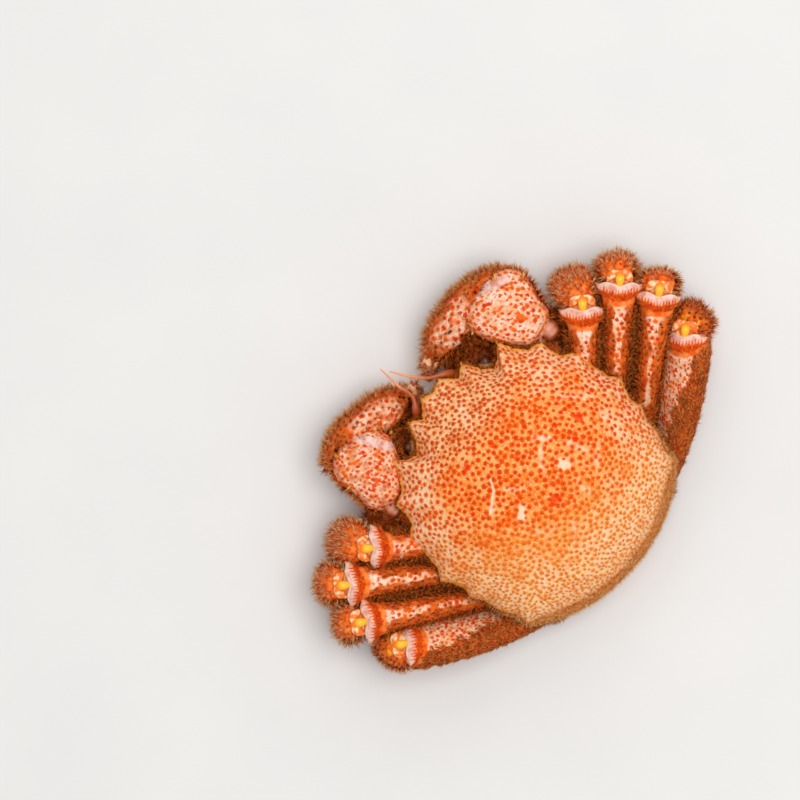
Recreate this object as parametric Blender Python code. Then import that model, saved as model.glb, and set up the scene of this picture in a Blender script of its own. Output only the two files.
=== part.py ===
"""A boiled hair crab with its legs folded, resting on its belly.

The head looks along -Y, the back is up, and the origin is on the ground under the middle of the
shell, on the flat of the tail flap. Lengths are in millimetres until a mesh is made. The points of
a limb are given for the crab's left, with X measured outward from the mid-line.
"""

import math

import bmesh
import bpy
import numpy as np

MM = 0.001
GAP = 0.3  # clearance between neighbouring pieces, end to end
CUT_GAP = 0.4  # clearance cut where a piece presses against the side of another
CROSSWAYS = (1.0, 0.0, 0.0)  # sideways direction of what runs along the mid-line

# Shell: the driving sizes
SHELL_LENGTH = 105.2
SHELL_WIDTH = 108.8
RIM_HEIGHT = 31.5  # height of the shell's sharp edge at mid-length
RIM_FALL = 0.085  # how much the edge drops for each mm towards the tail
DOME_HEIGHT = 25.0
SKIRT_DEPTH = 8.0  # how far the side wall goes down from the edge
OVAL_POWER = 2.25  # power of the plain oval under the teeth
OVAL_WIDTH = 0.955  # its width as a share of the shell's
OVAL_FRONT = 0.90  # how far it reaches forward, as a share of half the shell's length
OVAL_REAR = 0.985

# Half of the shell's edge from the snout to the tail, as shares of half its width and length
EDGE = [
    (0.000, -0.968),  # notch in the snout
    (0.096, -1.000),  # tooth of the snout
    (0.150, -0.945),
    (0.199, -0.889),  # recess for the feeler
    (0.290, -0.954),  # inner tooth of the eye's notch
    (0.355, -0.815),
    (0.427, -0.741),  # bottom of the eye's notch
    (0.505, -0.775),
    (0.581, -0.856),  # outer tooth of the eye's notch
    (0.625, -0.740),
    (0.691, -0.646),
    (0.798, -0.605),  # second tooth of the side
    (0.800, -0.510),
    (0.824, -0.426),
    (0.927, -0.346),  # third tooth
    (0.915, -0.250),
    (0.928, -0.164),
    (0.945, -0.051),
    (1.000, 0.026),  # fourth tooth, the widest point
    (0.955, 0.110),
    (0.922, 0.200),
    (0.945, 0.278),  # fifth tooth
    (0.890, 0.390),
    (0.870, 0.528),  # sixth tooth
    (0.812, 0.630),
    (0.800, 0.734),  # seventh tooth, the rear corner
    (0.690, 0.790),
    (0.560, 0.860),
    (0.420, 0.925),
    (0.280, 0.968),
    (0.140, 0.992),
    (0.000, 1.000),
]
# Share of the dome left on the way to the edge: (1 - share ** steepness) ** fullness, whose values
# go from those in front to those behind
STEEPNESS = (2.25, 2.70)
FULLNESS = (0.86, 0.62)
BACK_RINGS = (0.2, 0.4, 0.57, 0.71, 0.82, 0.90, 0.955, 1.0)  # shares of the way to the edge
TEETH_START = 0.72  # the teeth begin to show at this share of the way
# Rings of the side wall: share of its depth, and its reach in front and behind
SKIRT_RINGS = ((0.22, 0.97, 1.05), (0.65, 0.87, 1.06), (1.0, 0.77, 1.0))

# Low swellings and grooves of the back: x, y, radius and height
SWELLINGS = [
    (0, -14, 17, 1.4),  # stomach
    (0, 20, 11, 1.3),  # heart
    (27, 12, 17, 1.3),  # gills
    (-27, 12, 17, 1.3),
    (30, -22, 10, 0.8),  # liver
    (-30, -22, 10, 0.8),
    (14, 4, 5, -1.0),  # ends of the neck groove
    (-14, 4, 5, -1.0),
]

# Trunk under the shell: share of the depth, and its reach as a share of the shell's plain oval,
# in front and behind. It ends in the flat breastplate.
TRUNK_LEVELS = ((0.0, 0.72, 0.92), (0.35, 0.66, 0.90), (0.7, 0.60, 0.84), (1.0, 0.54, 0.70))
TRUNK_SIDES = 24
BREAST_HEIGHT = 3.6
BREAST_HALF_WIDTH = 25.0
BREAST_FRONT = -27.0
BREAST_REAR = 44.5
BREAST_SQUARENESS = 0.7

# Walking legs, first to fourth; a real crab's two sides differ a little. Hip is the hip joint, knee
# the knob on the knee, shin the plan position of the shin's lower end, and tip that of the claw.
LEGS = {
    ("left", 1): dict(hip=(34, 1), knee=(64.2, -29.3, 29.0), shin=(68.6, -38.9), tip=(38, -2)),
    ("left", 2): dict(hip=(38, 13), knee=(81.4, -26.6, 30.0), shin=(84.1, -30.5), tip=(42, 9)),
    ("left", 3): dict(hip=(39, 26), knee=(88.0, -11.7, 29.0), shin=(91.0, -14.9), tip=(44, 23)),
    ("left", 4): dict(hip=(36, 41), knee=(83.8, 6.4, 26.0), shin=(88.4, 6.8), tip=(41, 40)),
    ("right", 1): dict(hip=(34, 1), knee=(65.6, -29.9, 29.5), shin=(70.0, -39.5), tip=(38, -2)),
    ("right", 2): dict(hip=(38, 13), knee=(82.9, -25.4, 30.5), shin=(85.6, -29.3), tip=(42, 9)),
    ("right", 3): dict(hip=(39, 26), knee=(90.2, -10.8, 29.5), shin=(92.2, -12.8), tip=(44, 23)),
    ("right", 4): dict(hip=(36, 41), knee=(85.4, 7.6, 26.5), shin=(92.5, 8.3), tip=(41, 40)),
}
LEAN = {1: 6, 2: 2, 3: 5, 4: 48}  # degrees by which a thigh's upper edge tips towards the head
SHIFT = {1: 0.0, 2: 0.0, 3: 0.0, 4: 3.2}  # how far a thigh's middle line lies behind hip and knee
SHIN_SCALE = {1: 1.12, 2: 1.0, 3: 1.0, 4: 1.04}
HIP_HEIGHT = 10.5
HIP_LENGTH = 17.0
THIGH_ARCH = 3.0  # the thigh's middle rises this much above the line from hip to knee
KNEE_SETBACK = 2.0  # the thigh ends this far before the knob
ROOT_DROP = 0.5  # the hip's inner end lies this much lower than its joint
HIP_BEND = 5.0  # length of the hip's last stretch, which runs in line with the thigh
SHIN_TOP = (3.6, 5.5)  # start of the shin, outward of and above the knob
SHIN_BULGE = (2.4, 3.5)  # the shin's middle, outward of the line down to its end, and lower
SHORT_SHINS = {("left", 4): 1.2, ("right", 3): 1.8}  # these stand out that much less
SHIN_END_HEIGHT = 13.2
SOLE_HEIGHT = 5.7  # middle line of a folded foot above the ground
TOE_HEIGHT = 4.2
TIP_HEIGHT = 1.2
HEEL = 2.5  # the foot starts this far beyond the shin's end

# Sections of a limb: share of the segment's length, half thickness, half height
HIP = ((0.0, 5.0, 5.6), (0.4, 5.0, 6.4), (0.8, 4.4, 6.4), (1.0, 3.7, 5.5))
THIGH = (
    (0.00, 3.8, 5.6), (0.10, 4.0, 6.6), (0.35, 4.6, 8.4), (0.62, 5.3, 9.0),
    (0.82, 5.9, 8.9), (0.92, 7.0, 8.6), (1.00, 7.0, 7.6),
)
FOURTH_THIGH = (
    (0.00, 3.8, 6.0), (0.10, 4.2, 7.6), (0.35, 4.8, 10.2), (0.62, 5.2, 10.8),
    (0.82, 5.7, 10.2), (0.92, 6.6, 9.6), (1.00, 6.8, 8.4),
)
SHIN = (
    (0.00, 3.8, 3.0), (0.08, 5.8, 4.5), (0.25, 7.2, 5.4), (0.50, 7.6, 5.7),
    (0.75, 7.2, 5.5), (0.92, 6.2, 4.8), (1.00, 4.8, 3.8),
)
FOOT = (
    (0.00, 3.6, 3.9), (0.10, 4.7, 5.2), (0.30, 5.0, 5.7), (0.60, 4.4, 5.2),
    (0.90, 3.7, 4.4), (1.00, 3.0, 3.6),
)
CLAW = ((0.00, 2.6, 2.9), (0.10, 3.0, 3.4), (0.45, 2.5, 2.8), (0.80, 1.4, 1.6), (1.00, 0.4, 0.5))

# Pincers: the arm comes out from under the shell, the wrist lies beside the snout, and the hand is
# folded across the front with its fingers tucked down to the mid-line. The left one lies closer in.
ARM_PATH = ((12, -12, 12), (25, -18.5, 13.5), (36, -23.5, 17.5), (45.0, -28.0, 22.0))
ARM_JOINT = 0.34  # share of the arm's path that is one with the trunk
ARM = ((0.0, 4.2, 6.0), (0.3, 5.2, 7.2), (0.7, 6.0, 8.2), (0.92, 6.2, 8.0), (1.0, 5.0, 6.4))
PINCERS = {
    "left": dict(
        wrist=((46.2, -34.6, 25.5), (40.4, -47.0, 26.8), (36.4, -63.2, 24.8)),
        hand=((50.0, -61.5, 22.0), (39.5, -65.0, 22.5), (24.0, -60.6, 20.5), (11.0, -58.2, 14.5)),
        upper=((6.8, -57.6, 18.6), (5.0, -57.0, 14.2), (3.4, -55.6, 9.0), (2.4, -54.2, 5.6)),
        lower=((16.0, -58.8, 13.0), (11.4, -58.1, 10.6), (6.4, -56.9, 7.2), (3.2, -54.0, 3.0)),
    ),
    "right": dict(
        wrist=((47.4, -34.6, 25.5), (44.6, -48.0, 26.8), (43.4, -64.6, 24.8)),
        hand=((54.0, -62.0, 22.5), (43.0, -65.0, 23.0), (27.0, -62.4, 20.5), (13.0, -60.4, 14.5)),
        upper=((9.3, -59.9, 18.8), (6.7, -59.0, 14.2), (3.8, -56.8, 9.0), (2.6, -55.0, 5.6)),
        lower=((18.0, -61.0, 13.0), (13.4, -60.3, 10.6), (7.8, -58.8, 7.2), (3.4, -54.6, 3.0)),
    ),
}
WRIST_WIDTH = {"left": 0.88, "right": 1.0}
WRIST = (
    (0.00, 5.4, 4.6), (0.07, 8.0, 7.4), (0.20, 9.8, 9.4), (0.38, 12.6, 10.6),
    (0.60, 15.0, 10.8), (0.75, 15.0, 10.4), (0.91, 11.2, 8.6), (1.00, 7.4, 6.0),
)
HAND = (
    (0.00, 2.6, 4.6), (0.07, 3.6, 7.4), (0.25, 5.0, 9.4), (0.45, 7.2, 10.2),
    (0.62, 8.4, 10.6), (0.82, 8.0, 9.6), (1.00, 5.2, 7.4),
)
FINGER = ((0.0, 3.4, 3.3), (0.25, 3.3, 3.0), (0.6, 2.6, 2.3), (0.88, 1.5, 1.4), (1.0, 0.5, 0.5))

# Head: both feelers bend round until their ends lie side by side, left of the mid-line
FEELER_PATHS = {
    "left": (
        (10.8, -46.0, 25.2), (10.9, -49.4, 30.0), (9.6, -51.8, 34.0),
        (7.0, -55.4, 35.0), (7.4, -62.5, 34.0), (7.2, -72.6, 32.5),
    ),
    "right": (
        (-10.8, -46.0, 25.2), (-10.9, -49.4, 30.0), (-8.6, -52.1, 34.0),
        (-2.8, -56.2, 35.2), (1.6, -62.0, 34.2), (5.4, -69.2, 33.2),
    ),
}
FEELER = (
    (0.0, 1.7, 1.7), (0.18, 2.0, 1.9), (0.36, 1.6, 1.5),
    (0.5, 0.9, 0.9), (0.75, 0.65, 0.65), (1.0, 0.3, 0.3),
)
EYE_PATH = ((19.0, -38.0, 24.5), (21.5, -41.5, 27.5), (23.5, -44.0, 29.0))
EYE = (
    (0.0, 1.6, 1.6), (0.35, 1.5, 1.5), (0.5, 2.2, 2.2),
    (0.72, 3.0, 3.0), (0.9, 2.3, 2.3), (1.0, 1.0, 1.0),
)
FACE_PATH = ((0, -18, 13), (0, -33, 15.5), (0, -42.0, 17.0))
FACE = ((0.0, 20, 8.0), (0.5, 20, 8.8), (0.9, 17, 8.2), (1.0, 14, 6.6))
MOUTH_PATH = ((5.2, -34.0, 4.4), (5.3, -42.8, 7.4), (5.2, -46.9, 14.0), (5.1, -46.2, 21.5))
MOUTH_PLATE = ((0.0, 2.2, 1.2), (0.15, 4.4, 1.9), (0.6, 4.7, 2.1), (0.9, 3.6, 1.7), (1.0, 2.0, 1.0))

# Tail flap, folded from the shell's rear edge to lie under the breastplate
FLAP_PATH = (
    (0, 51.0, 18.0), (0, 52.6, 10.5), (0, 48.4, 3.6), (0, 36.0, 1.3), (0, 14.0, 1.3), (0, -11.0, 1.3),
)
FLAP = (
    (0.0, 16.5, 1.6), (0.14, 16.0, 1.9), (0.30, 14.8, 1.7), (0.46, 13.0, 1.5),
    (0.75, 9.6, 1.5), (0.93, 5.6, 1.5), (1.0, 3.2, 1.4),
)


def smoothstep(value):
    value = min(max(value, 0.0), 1.0)
    return value * value * (3 - 2 * value)


def signed_power(value, power):
    return math.copysign(abs(value) ** power, value)


def curve_through(points, share):
    """Smooth curve through the points, at a share 0 to 1 of the way."""
    points = np.asarray(points, float)
    chords = np.linalg.norm(np.diff(points, axis=0), axis=1)
    knots = np.concatenate([[0.0], np.cumsum(chords)]) / chords.sum()
    share = min(max(share, 0.0), 1.0)
    i = min(int(np.searchsorted(knots, share, side="right")) - 1, len(points) - 2)
    spans = np.diff(knots)
    steps = np.diff(points, axis=0) / spans[:, None]
    slopes = [steps[i], steps[i]]
    if i > 0:
        slopes[0] = (steps[i - 1] * spans[i] + steps[i] * spans[i - 1]) / (spans[i - 1] + spans[i])
    if i < len(steps) - 1:
        slopes[1] = (steps[i] * spans[i + 1] + steps[i + 1] * spans[i]) / (spans[i] + spans[i + 1])
    t = (share - knots[i]) / spans[i]
    bend = (slopes[0] * (1 - t) - slopes[1] * t) * t * (1 - t) * spans[i]
    return points[i] + (points[i + 1] - points[i]) * smoothstep(t) + bend


class Limb:
    """A segment whose rounded cross-sections follow a curved middle line.

    Across is its sideways direction, or None where it runs along the ground. Lean turns the
    sections, in degrees at its start and its end."""

    def __init__(self, path, sections, across=None, lean=(0, 0), sides=12, squareness=2.4):
        self.path = np.asarray(path, float)
        self.sections = sections
        self.across = across
        self.lean = lean
        self.sides = sides
        self.squareness = squareness

    def length(self):
        return np.linalg.norm(np.diff(self.path, axis=0), axis=1).sum()

    def ring(self, share, half_width, half_height, lean):
        step = 0.004
        tangent = curve_through(self.path, share + step) - curve_through(self.path, share - step)
        tangent /= np.linalg.norm(tangent)
        across = np.cross(tangent, (0, 0, 1)) if self.across is None else np.array(self.across)
        wide = across - tangent * np.dot(across, tangent)
        wide /= np.linalg.norm(wide)
        tall = np.cross(wide, tangent)
        turn = math.radians(lean)
        wide, tall = (
            wide * math.cos(turn) + tall * math.sin(turn),
            tall * math.cos(turn) - wide * math.sin(turn),
        )
        centre = curve_through(self.path, share)
        power = 2 / self.squareness
        points = []
        for k in range(self.sides):
            angle = 2 * math.pi * k / self.sides
            x = half_width * signed_power(math.cos(angle), power)
            y = half_height * signed_power(math.sin(angle), power)
            points.append(centre + wide * x + tall * y)
        return points

    def rings(self, grow=0.0, gaps=(1, 1)):
        """All the rings, set back from its neighbours by half the gap at each end named in gaps."""
        gap = GAP / 2 / self.length()
        start, end = gap * gaps[0], 1 - gap * gaps[1]
        rings = []
        for share, half_width, half_height in self.sections:
            lean = self.lean[0] + (self.lean[1] - self.lean[0]) * share
            place = start + (end - start) * share
            rings.append(self.ring(place, half_width + grow, half_height + grow, lean))
        return rings

    def solid(self, name, finish, gaps=(1, 1)):
        return new_object(name, self.rings(gaps=gaps), finish)

    def space(self, name):
        """The room it takes with the clearance round it, to cut from a neighbour."""
        rings = self.rings(grow=CUT_GAP, gaps=(0, 0))
        for end, inner in ((0, 1), (-1, -2)):
            way = np.mean(rings[end], axis=0) - np.mean(rings[inner], axis=0)
            way *= CUT_GAP / np.linalg.norm(way)
            rings[end] = [point + way for point in rings[end]]
        return helper(name, rings)


def material(name, colour, roughness):
    made = bpy.data.materials.new(name)
    made.use_nodes = True
    shader = made.node_tree.nodes["Principled BSDF"]
    shader.inputs["Base Color"].default_value = (*colour, 1)
    shader.inputs["Roughness"].default_value = roughness
    shader.inputs["Metallic"].default_value = 0.0
    return made


def new_object(name, rings, finish=None, apex=None):
    """One closed object from rings of points, with flat ends or, at the first ring, an apex.
    What would reach below the ground is pressed flat on it."""
    work = bmesh.new()
    rows = []
    for ring in rings:
        rows.append([work.verts.new((x * MM, y * MM, max(z, 0.0) * MM)) for x, y, z in ring])
    for near, far in zip(rows, rows[1:]):
        for k in range(len(near)):
            after = (k + 1) % len(near)
            work.faces.new((near[k], near[after], far[after], far[k]))
    if apex is None:
        work.faces.new(rows[0])
    else:
        top = work.verts.new([value * MM for value in apex])
        for k in range(len(rows[0])):
            work.faces.new((rows[0][k], rows[0][(k + 1) % len(rows[0])], top))
    work.faces.new(rows[-1])
    bmesh.ops.recalc_face_normals(work, faces=work.faces)
    mesh = bpy.data.meshes.new(name)
    work.to_mesh(mesh)
    work.free()
    mesh.shade_smooth()
    mesh.set_sharp_from_angle(angle=math.radians(45))
    if finish:
        mesh.materials.append(finish)
    made = bpy.data.objects.new(name, mesh)
    bpy.context.scene.collection.objects.link(made)
    return made


def helper(name, rings, apex=None):
    """A hidden object that is only fused to another, or cut from it."""
    made = new_object(name, rings, apex=apex)
    made.hide_render = True
    made.display_type = "WIRE"
    return made


def combine(body, others, operation):
    for other in others:
        step = body.modifiers.new(f"{operation} {other.name}", "BOOLEAN")
        step.operation = operation
        step.object = other


def plain_reach(angle):
    """Distance from the middle of the shell to the plain oval under its toothed edge."""
    x, y = math.cos(angle), math.sin(angle)
    wide = SHELL_WIDTH / 2 * OVAL_WIDTH
    long = SHELL_LENGTH / 2 * (OVAL_FRONT if y < 0 else OVAL_REAR)
    return 1 / ((abs(x) / wide) ** OVAL_POWER + (abs(y) / long) ** OVAL_POWER) ** (1 / OVAL_POWER)


def rim_height(y):
    return RIM_HEIGHT - RIM_FALL * y


def back_height(x, y, reach):
    """Height of the back at a point that lies at a share, reach, of the way to the edge."""
    rearward = smoothstep(y / SHELL_LENGTH + 0.5)
    steepness = STEEPNESS[0] * (1 - rearward) + STEEPNESS[1] * rearward
    fullness = FULLNESS[0] * (1 - rearward) + FULLNESS[1] * rearward
    height = rim_height(y) + DOME_HEIGHT * (1 - reach**steepness) ** fullness
    for middle_x, middle_y, radius, rise in SWELLINGS:
        distance = math.hypot(x - middle_x, y - middle_y)
        height += rise * math.exp(-((distance / radius) ** 2)) * (1 - reach**4)
    return height


def shell_edge():
    """The whole toothed edge as directions and distances from the middle."""
    half = [(x * SHELL_WIDTH / 2, y * SHELL_LENGTH / 2) for x, y in EDGE]
    whole = half + [(-x, y) for x, y in reversed(half[1:-1])]
    return [(math.atan2(y, x), math.hypot(x, y)) for x, y in whole]


def shell_rings(grow=0.0):
    """Rings from the middle of the back over the toothed edge and down the side wall."""
    rings = []
    for reach in BACK_RINGS:
        teeth = smoothstep((reach - TEETH_START) / (1 - TEETH_START))
        ring = []
        for angle, distance in shell_edge():
            out = (plain_reach(angle) * (1 - teeth) + distance * teeth) * reach
            x, y = math.cos(angle) * out, math.sin(angle) * out
            height = back_height(x, y, reach) + grow
            out += grow * reach
            ring.append((math.cos(angle) * out, math.sin(angle) * out, height))
        rings.append(ring)
    for depth, front, rear in SKIRT_RINGS:
        ring = []
        for angle, distance in shell_edge():
            rearward = smoothstep(math.sin(angle) * distance / SHELL_LENGTH * 3.2 - 0.4)
            out = distance * (1 - depth) + plain_reach(angle) * depth
            out = out * (front + (rear - front) * rearward) + grow
            x, y = math.cos(angle) * out, math.sin(angle) * out
            ring.append((x, y, rim_height(y) - (SKIRT_DEPTH + grow) * depth))
        rings.append(ring)
    return rings


def trunk_rings(grow=0.0):
    """Rings of the trunk, from under the shell down to the flat breastplate."""
    middle = (BREAST_FRONT + BREAST_REAR) / 2
    half_long = (BREAST_REAR - BREAST_FRONT) / 2
    rings = []
    for depth, front, rear in TRUNK_LEVELS:
        narrowing = depth**1.2
        ring = []
        for k in range(TRUNK_SIDES):
            angle = 2 * math.pi * (k + 0.5) / TRUNK_SIDES
            rearward = smoothstep(math.sin(angle) * 1.3 - 0.15)
            out = plain_reach(angle) * (front + (rear - front) * rearward)
            low_x = BREAST_HALF_WIDTH * signed_power(math.cos(angle), BREAST_SQUARENESS)
            low_y = middle + half_long * signed_power(math.sin(angle), BREAST_SQUARENESS)
            x = math.cos(angle) * out * (1 - narrowing) + low_x * narrowing
            y = math.sin(angle) * out * (1 - narrowing) + low_y * narrowing
            z = (rim_height(y) - SKIRT_DEPTH - GAP) * (1 - depth) + BREAST_HEIGHT * depth
            wider = 1 + grow / math.hypot(x, y)
            ring.append((x * wider, y * wider, z + grow * (1 - 2 * depth)))
        rings.append(ring)
    return rings


def sided(points, side):
    """The points of the crab's left limb, for either side."""
    return np.array(points, float) * (1 if side == "left" else -1, 1, 1)


def flat_direction(start, end):
    """Unit vector along the ground from one point towards another."""
    way = np.array([end[0] - start[0], end[1] - start[1], 0.0])
    return way / np.linalg.norm(way)


def path_across(path):
    """Sideways direction of a limb whose middle line keeps to one direction on the plan."""
    return np.cross(flat_direction(path[0], path[-1]), (0, 0, 1))


def leg_limbs(side, number):
    """Hip, thigh, shin, foot and claw of one walking leg."""
    leg = LEGS[(side, number)]
    up = np.array([0.0, 0.0, 1.0])
    hip = np.array([*leg["hip"], HIP_HEIGHT])
    knee = np.array(leg["knee"])
    outward = flat_direction(hip, knee)
    shift = np.cross(up, outward) * SHIFT[number]
    thigh_end = knee - outward * KNEE_SETBACK
    before_knee = thigh_end * 0.85 + hip * 0.15
    before_knee[2] = thigh_end[2] - 0.3
    middle = (hip + thigh_end) / 2 + up * THIGH_ARCH
    thigh = [hip + shift * 0.4, middle + shift, before_knee + shift, thigh_end + shift * 0.9]
    rising = (thigh[1] - thigh[0]) / np.linalg.norm(thigh[1] - thigh[0])
    root = hip + flat_direction(hip, (0, hip[1] * 0.7)) * HIP_LENGTH - up * ROOT_DROP
    shin_end = np.array([*leg["shin"], SHIN_END_HEIGHT])
    down = flat_direction(knee, shin_end)
    reach = np.linalg.norm((shin_end - knee)[:2])
    bulge = SHIN_BULGE[0] - SHORT_SHINS.get((side, number), 0.0)
    shin = [
        knee + down * SHIN_TOP[0] + up * SHIN_TOP[1],
        knee + down * (reach / 2 + bulge) - up * SHIN_BULGE[1],
        shin_end,
    ]
    heel = np.array([*leg["shin"], SOLE_HEIGHT]) + down * HEEL
    tip = np.array([*leg["tip"], TIP_HEIGHT])
    toe = (heel + tip) / 2
    toe[2] = TOE_HEIGHT
    foot = [heel, (heel + toe) / 2 + up * 0.6, toe]
    claw = [toe, (toe + tip) / 2 + up * 0.9, tip]
    lean = LEAN[number] * (1 if side == "left" else -1)
    scale = SHIN_SCALE[number]
    shin_sections = [(share, wide * scale, tall * scale) for share, wide, tall in SHIN]
    shin = sided(shin, side)
    hip_path = [root, thigh[0] - rising * HIP_BEND, thigh[0]]
    return {
        "hip": Limb(sided(hip_path, side), HIP, lean=(lean * 0.4, lean * 0.4)),
        "merus": Limb(sided(thigh, side), FOURTH_THIGH if number == 4 else THIGH, lean=(lean * 0.4, lean)),
        "carpus": Limb(shin, shin_sections, across=path_across(shin)),
        "propodus": Limb(sided(foot, side), FOOT),
        "dactylus": Limb(sided(claw, side), CLAW),
    }


def make_leg(side, number, finishes):
    """The four free segments of a walking leg. Returns its thigh, and its hip as a helper."""
    limbs = leg_limbs(side, number)
    name = f"leg_{side}_{number}"
    thigh = limbs["merus"].solid(f"{name}_merus", finishes["shell"])
    shin = limbs["carpus"].solid(f"{name}_carpus", finishes["hairy"])
    combine(shin, [limbs["merus"].space(f"{name}_merus_space")], "DIFFERENCE")
    limbs["propodus"].solid(f"{name}_propodus", finishes["hairy"])
    limbs["dactylus"].solid(f"{name}_dactylus", finishes["shell"], gaps=(1, 0))
    return thigh, helper(f"{name}_hip", limbs["hip"].rings(gaps=(0, 1)))


def make_pincer(side, finishes):
    """Arm, wrist, hand with its fixed finger, and moving finger. Returns the arm, and its root."""
    whole = sided(ARM_PATH, side)
    across = path_across(whole)
    root_path = [curve_through(whole, ARM_JOINT * k / 3) for k in range(4)]
    arm_path = [curve_through(whole, ARM_JOINT + (1 - ARM_JOINT) * k / 4) for k in range(5)]
    wrist_path, hand_path, upper_path, lower_path = (
        sided(PINCERS[side][piece], side) for piece in ("wrist", "hand", "upper", "lower")
    )
    wrist_sections = [(share, wide * WRIST_WIDTH[side], tall) for share, wide, tall in WRIST]
    wrist = Limb(wrist_path, wrist_sections, path_across(wrist_path), sides=14)
    hand = Limb(hand_path, HAND, path_across(hand_path), sides=14)
    fixed_finger = Limb(lower_path, FINGER, path_across(lower_path), sides=10)
    name = f"claw_{side}"
    arm = Limb(arm_path, ARM, across, sides=14).solid(f"{name}_arm", finishes["hairy"])
    wrist.solid(f"{name}_wrist", finishes["shell"])
    palm = hand.solid(f"{name}_palm", finishes["hairy"])
    combine(palm, [helper(f"{name}_fixed_finger", fixed_finger.rings())], "UNION")
    combine(palm, [wrist.space(f"{name}_wrist_space")], "DIFFERENCE")
    moving_finger = Limb(upper_path, FINGER, path_across(upper_path), sides=10)
    moving_finger.solid(f"{name}_finger", finishes["shell"])
    return arm, helper(f"{name}_root", Limb(root_path, HIP, across).rings(gaps=(0, 1)))


def make_head_side(side, finishes, face_space):
    """Feeler, eye and mouth plate of one side."""
    feeler = Limb(FEELER_PATHS[side], FEELER, CROSSWAYS, sides=8, squareness=2)
    feeler.solid(f"antenna_{side}", finishes["joint"])
    eye_path = sided(EYE_PATH, side)
    eye = Limb(eye_path, EYE, path_across(eye_path), sides=10, squareness=2)
    eye.solid(f"eye_{side}", finishes["eye"])
    mouth = Limb(sided(MOUTH_PATH, side), MOUTH_PLATE, CROSSWAYS, sides=10)
    combine(mouth.solid(f"mouthpart_{side}", finishes["hairy"]), [face_space], "DIFFERENCE")


def make_crab():
    finishes = {
        "shell": material("shell", (0.85, 0.28, 0.07), 0.5),
        "hairy": material("hairy_shell", (0.45, 0.14, 0.05), 0.6),
        "joint": material("pale_joint", (0.9, 0.62, 0.45), 0.4),
        "eye": material("eye", (0.05, 0.02, 0.02), 0.2),
    }
    new_object("carapace", shell_rings(), finishes["shell"], apex=(0, 0, back_height(0, 0, 0)))
    top_of_space = (0, 0, back_height(0, 0, 0) + CUT_GAP)
    shell_space = helper("carapace_space", shell_rings(CUT_GAP), apex=top_of_space)
    trunk_space = helper("trunk_space", trunk_rings(CUT_GAP))

    roots = []
    for side, number in LEGS:
        thigh, hip = make_leg(side, number, finishes)
        combine(thigh, [shell_space, trunk_space], "DIFFERENCE")
        roots.append(hip)
    for side in ("left", "right"):
        arm, root = make_pincer(side, finishes)
        combine(arm, [shell_space, trunk_space], "DIFFERENCE")
        roots.append(root)

    face = Limb(FACE_PATH, FACE, CROSSWAYS, sides=16, squareness=3)
    roots.append(helper("face", face.rings()))
    face_space = face.space("face_space")
    for side in ("left", "right"):
        make_head_side(side, finishes, face_space)
    combine(new_object("trunk", trunk_rings(), finishes["hairy"]), roots, "UNION")

    flap = Limb(FLAP_PATH, FLAP, CROSSWAYS, sides=12, squareness=3.2)
    combine(flap.solid("tail_flap", finishes["joint"]), [trunk_space], "DIFFERENCE")


for leftover in list(bpy.data.objects):
    bpy.data.objects.remove(leftover)
make_crab()
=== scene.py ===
"""The looks of a boiled hair crab, built around its solid model.

The head looks along -Y and the back is up. Lengths are in millimetres until a mesh is made. The
points of a limb are given for the crab's left, with X measured outward from the mid-line.
"""

import math

import bpy
import numpy as np
from mathutils import Matrix
from mathutils.kdtree import KDTree


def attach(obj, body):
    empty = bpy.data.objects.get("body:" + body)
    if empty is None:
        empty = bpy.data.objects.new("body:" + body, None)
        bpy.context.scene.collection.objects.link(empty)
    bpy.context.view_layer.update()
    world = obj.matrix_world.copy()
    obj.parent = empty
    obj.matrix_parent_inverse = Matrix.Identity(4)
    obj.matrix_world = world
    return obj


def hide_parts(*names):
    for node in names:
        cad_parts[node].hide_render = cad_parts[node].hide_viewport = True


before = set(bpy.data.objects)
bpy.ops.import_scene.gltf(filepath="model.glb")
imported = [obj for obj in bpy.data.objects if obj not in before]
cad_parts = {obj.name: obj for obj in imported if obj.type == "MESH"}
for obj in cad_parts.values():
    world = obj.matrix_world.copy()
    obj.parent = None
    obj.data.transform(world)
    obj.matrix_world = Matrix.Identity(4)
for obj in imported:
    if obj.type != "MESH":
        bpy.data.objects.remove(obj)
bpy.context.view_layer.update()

MM = 0.001
UP = np.array([0.0, 0.0, 1.0])
CROSSWAYS = (1.0, 0.0, 0.0)  # sideways direction of what runs along the mid-line
LOWEST = 0.15  # nothing of the crab's fur reaches lower than this
FOREMOST = -76.1  # nor further forward than this
FLOOR_GAP = 0.02  # and none of its skin reaches lower than this
TINY = 1e-9  # keeps a division from failing where there is nothing to divide by
SIDES = {"left": 1, "right": -1}  # the sign of X on each side of the crab
SHEEN = (1.0, 0.5, 0.22, 1.0)  # the oily shell's reflections are tinted

# ---------------------------------------------------------------- sizes

# These are the solid model's, apart from the fourth thighs, the lower ends of the shins, the feelers
# and the eyes, which follow the real ones more closely here, and from the elbows and cheeks, which
# are fused into its trunk.

SHELL_LENGTH = 105.2
SHELL_WIDTH = 108.8
RIM_HEIGHT = 31.5
RIM_FALL = 0.085
DOME_HEIGHT = 25.0
SKIRT_DEPTH = 8.0
OVAL_POWER = 2.25
OVAL_WIDTH = 0.955
OVAL_FRONT = 0.90
OVAL_REAR = 0.985

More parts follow.
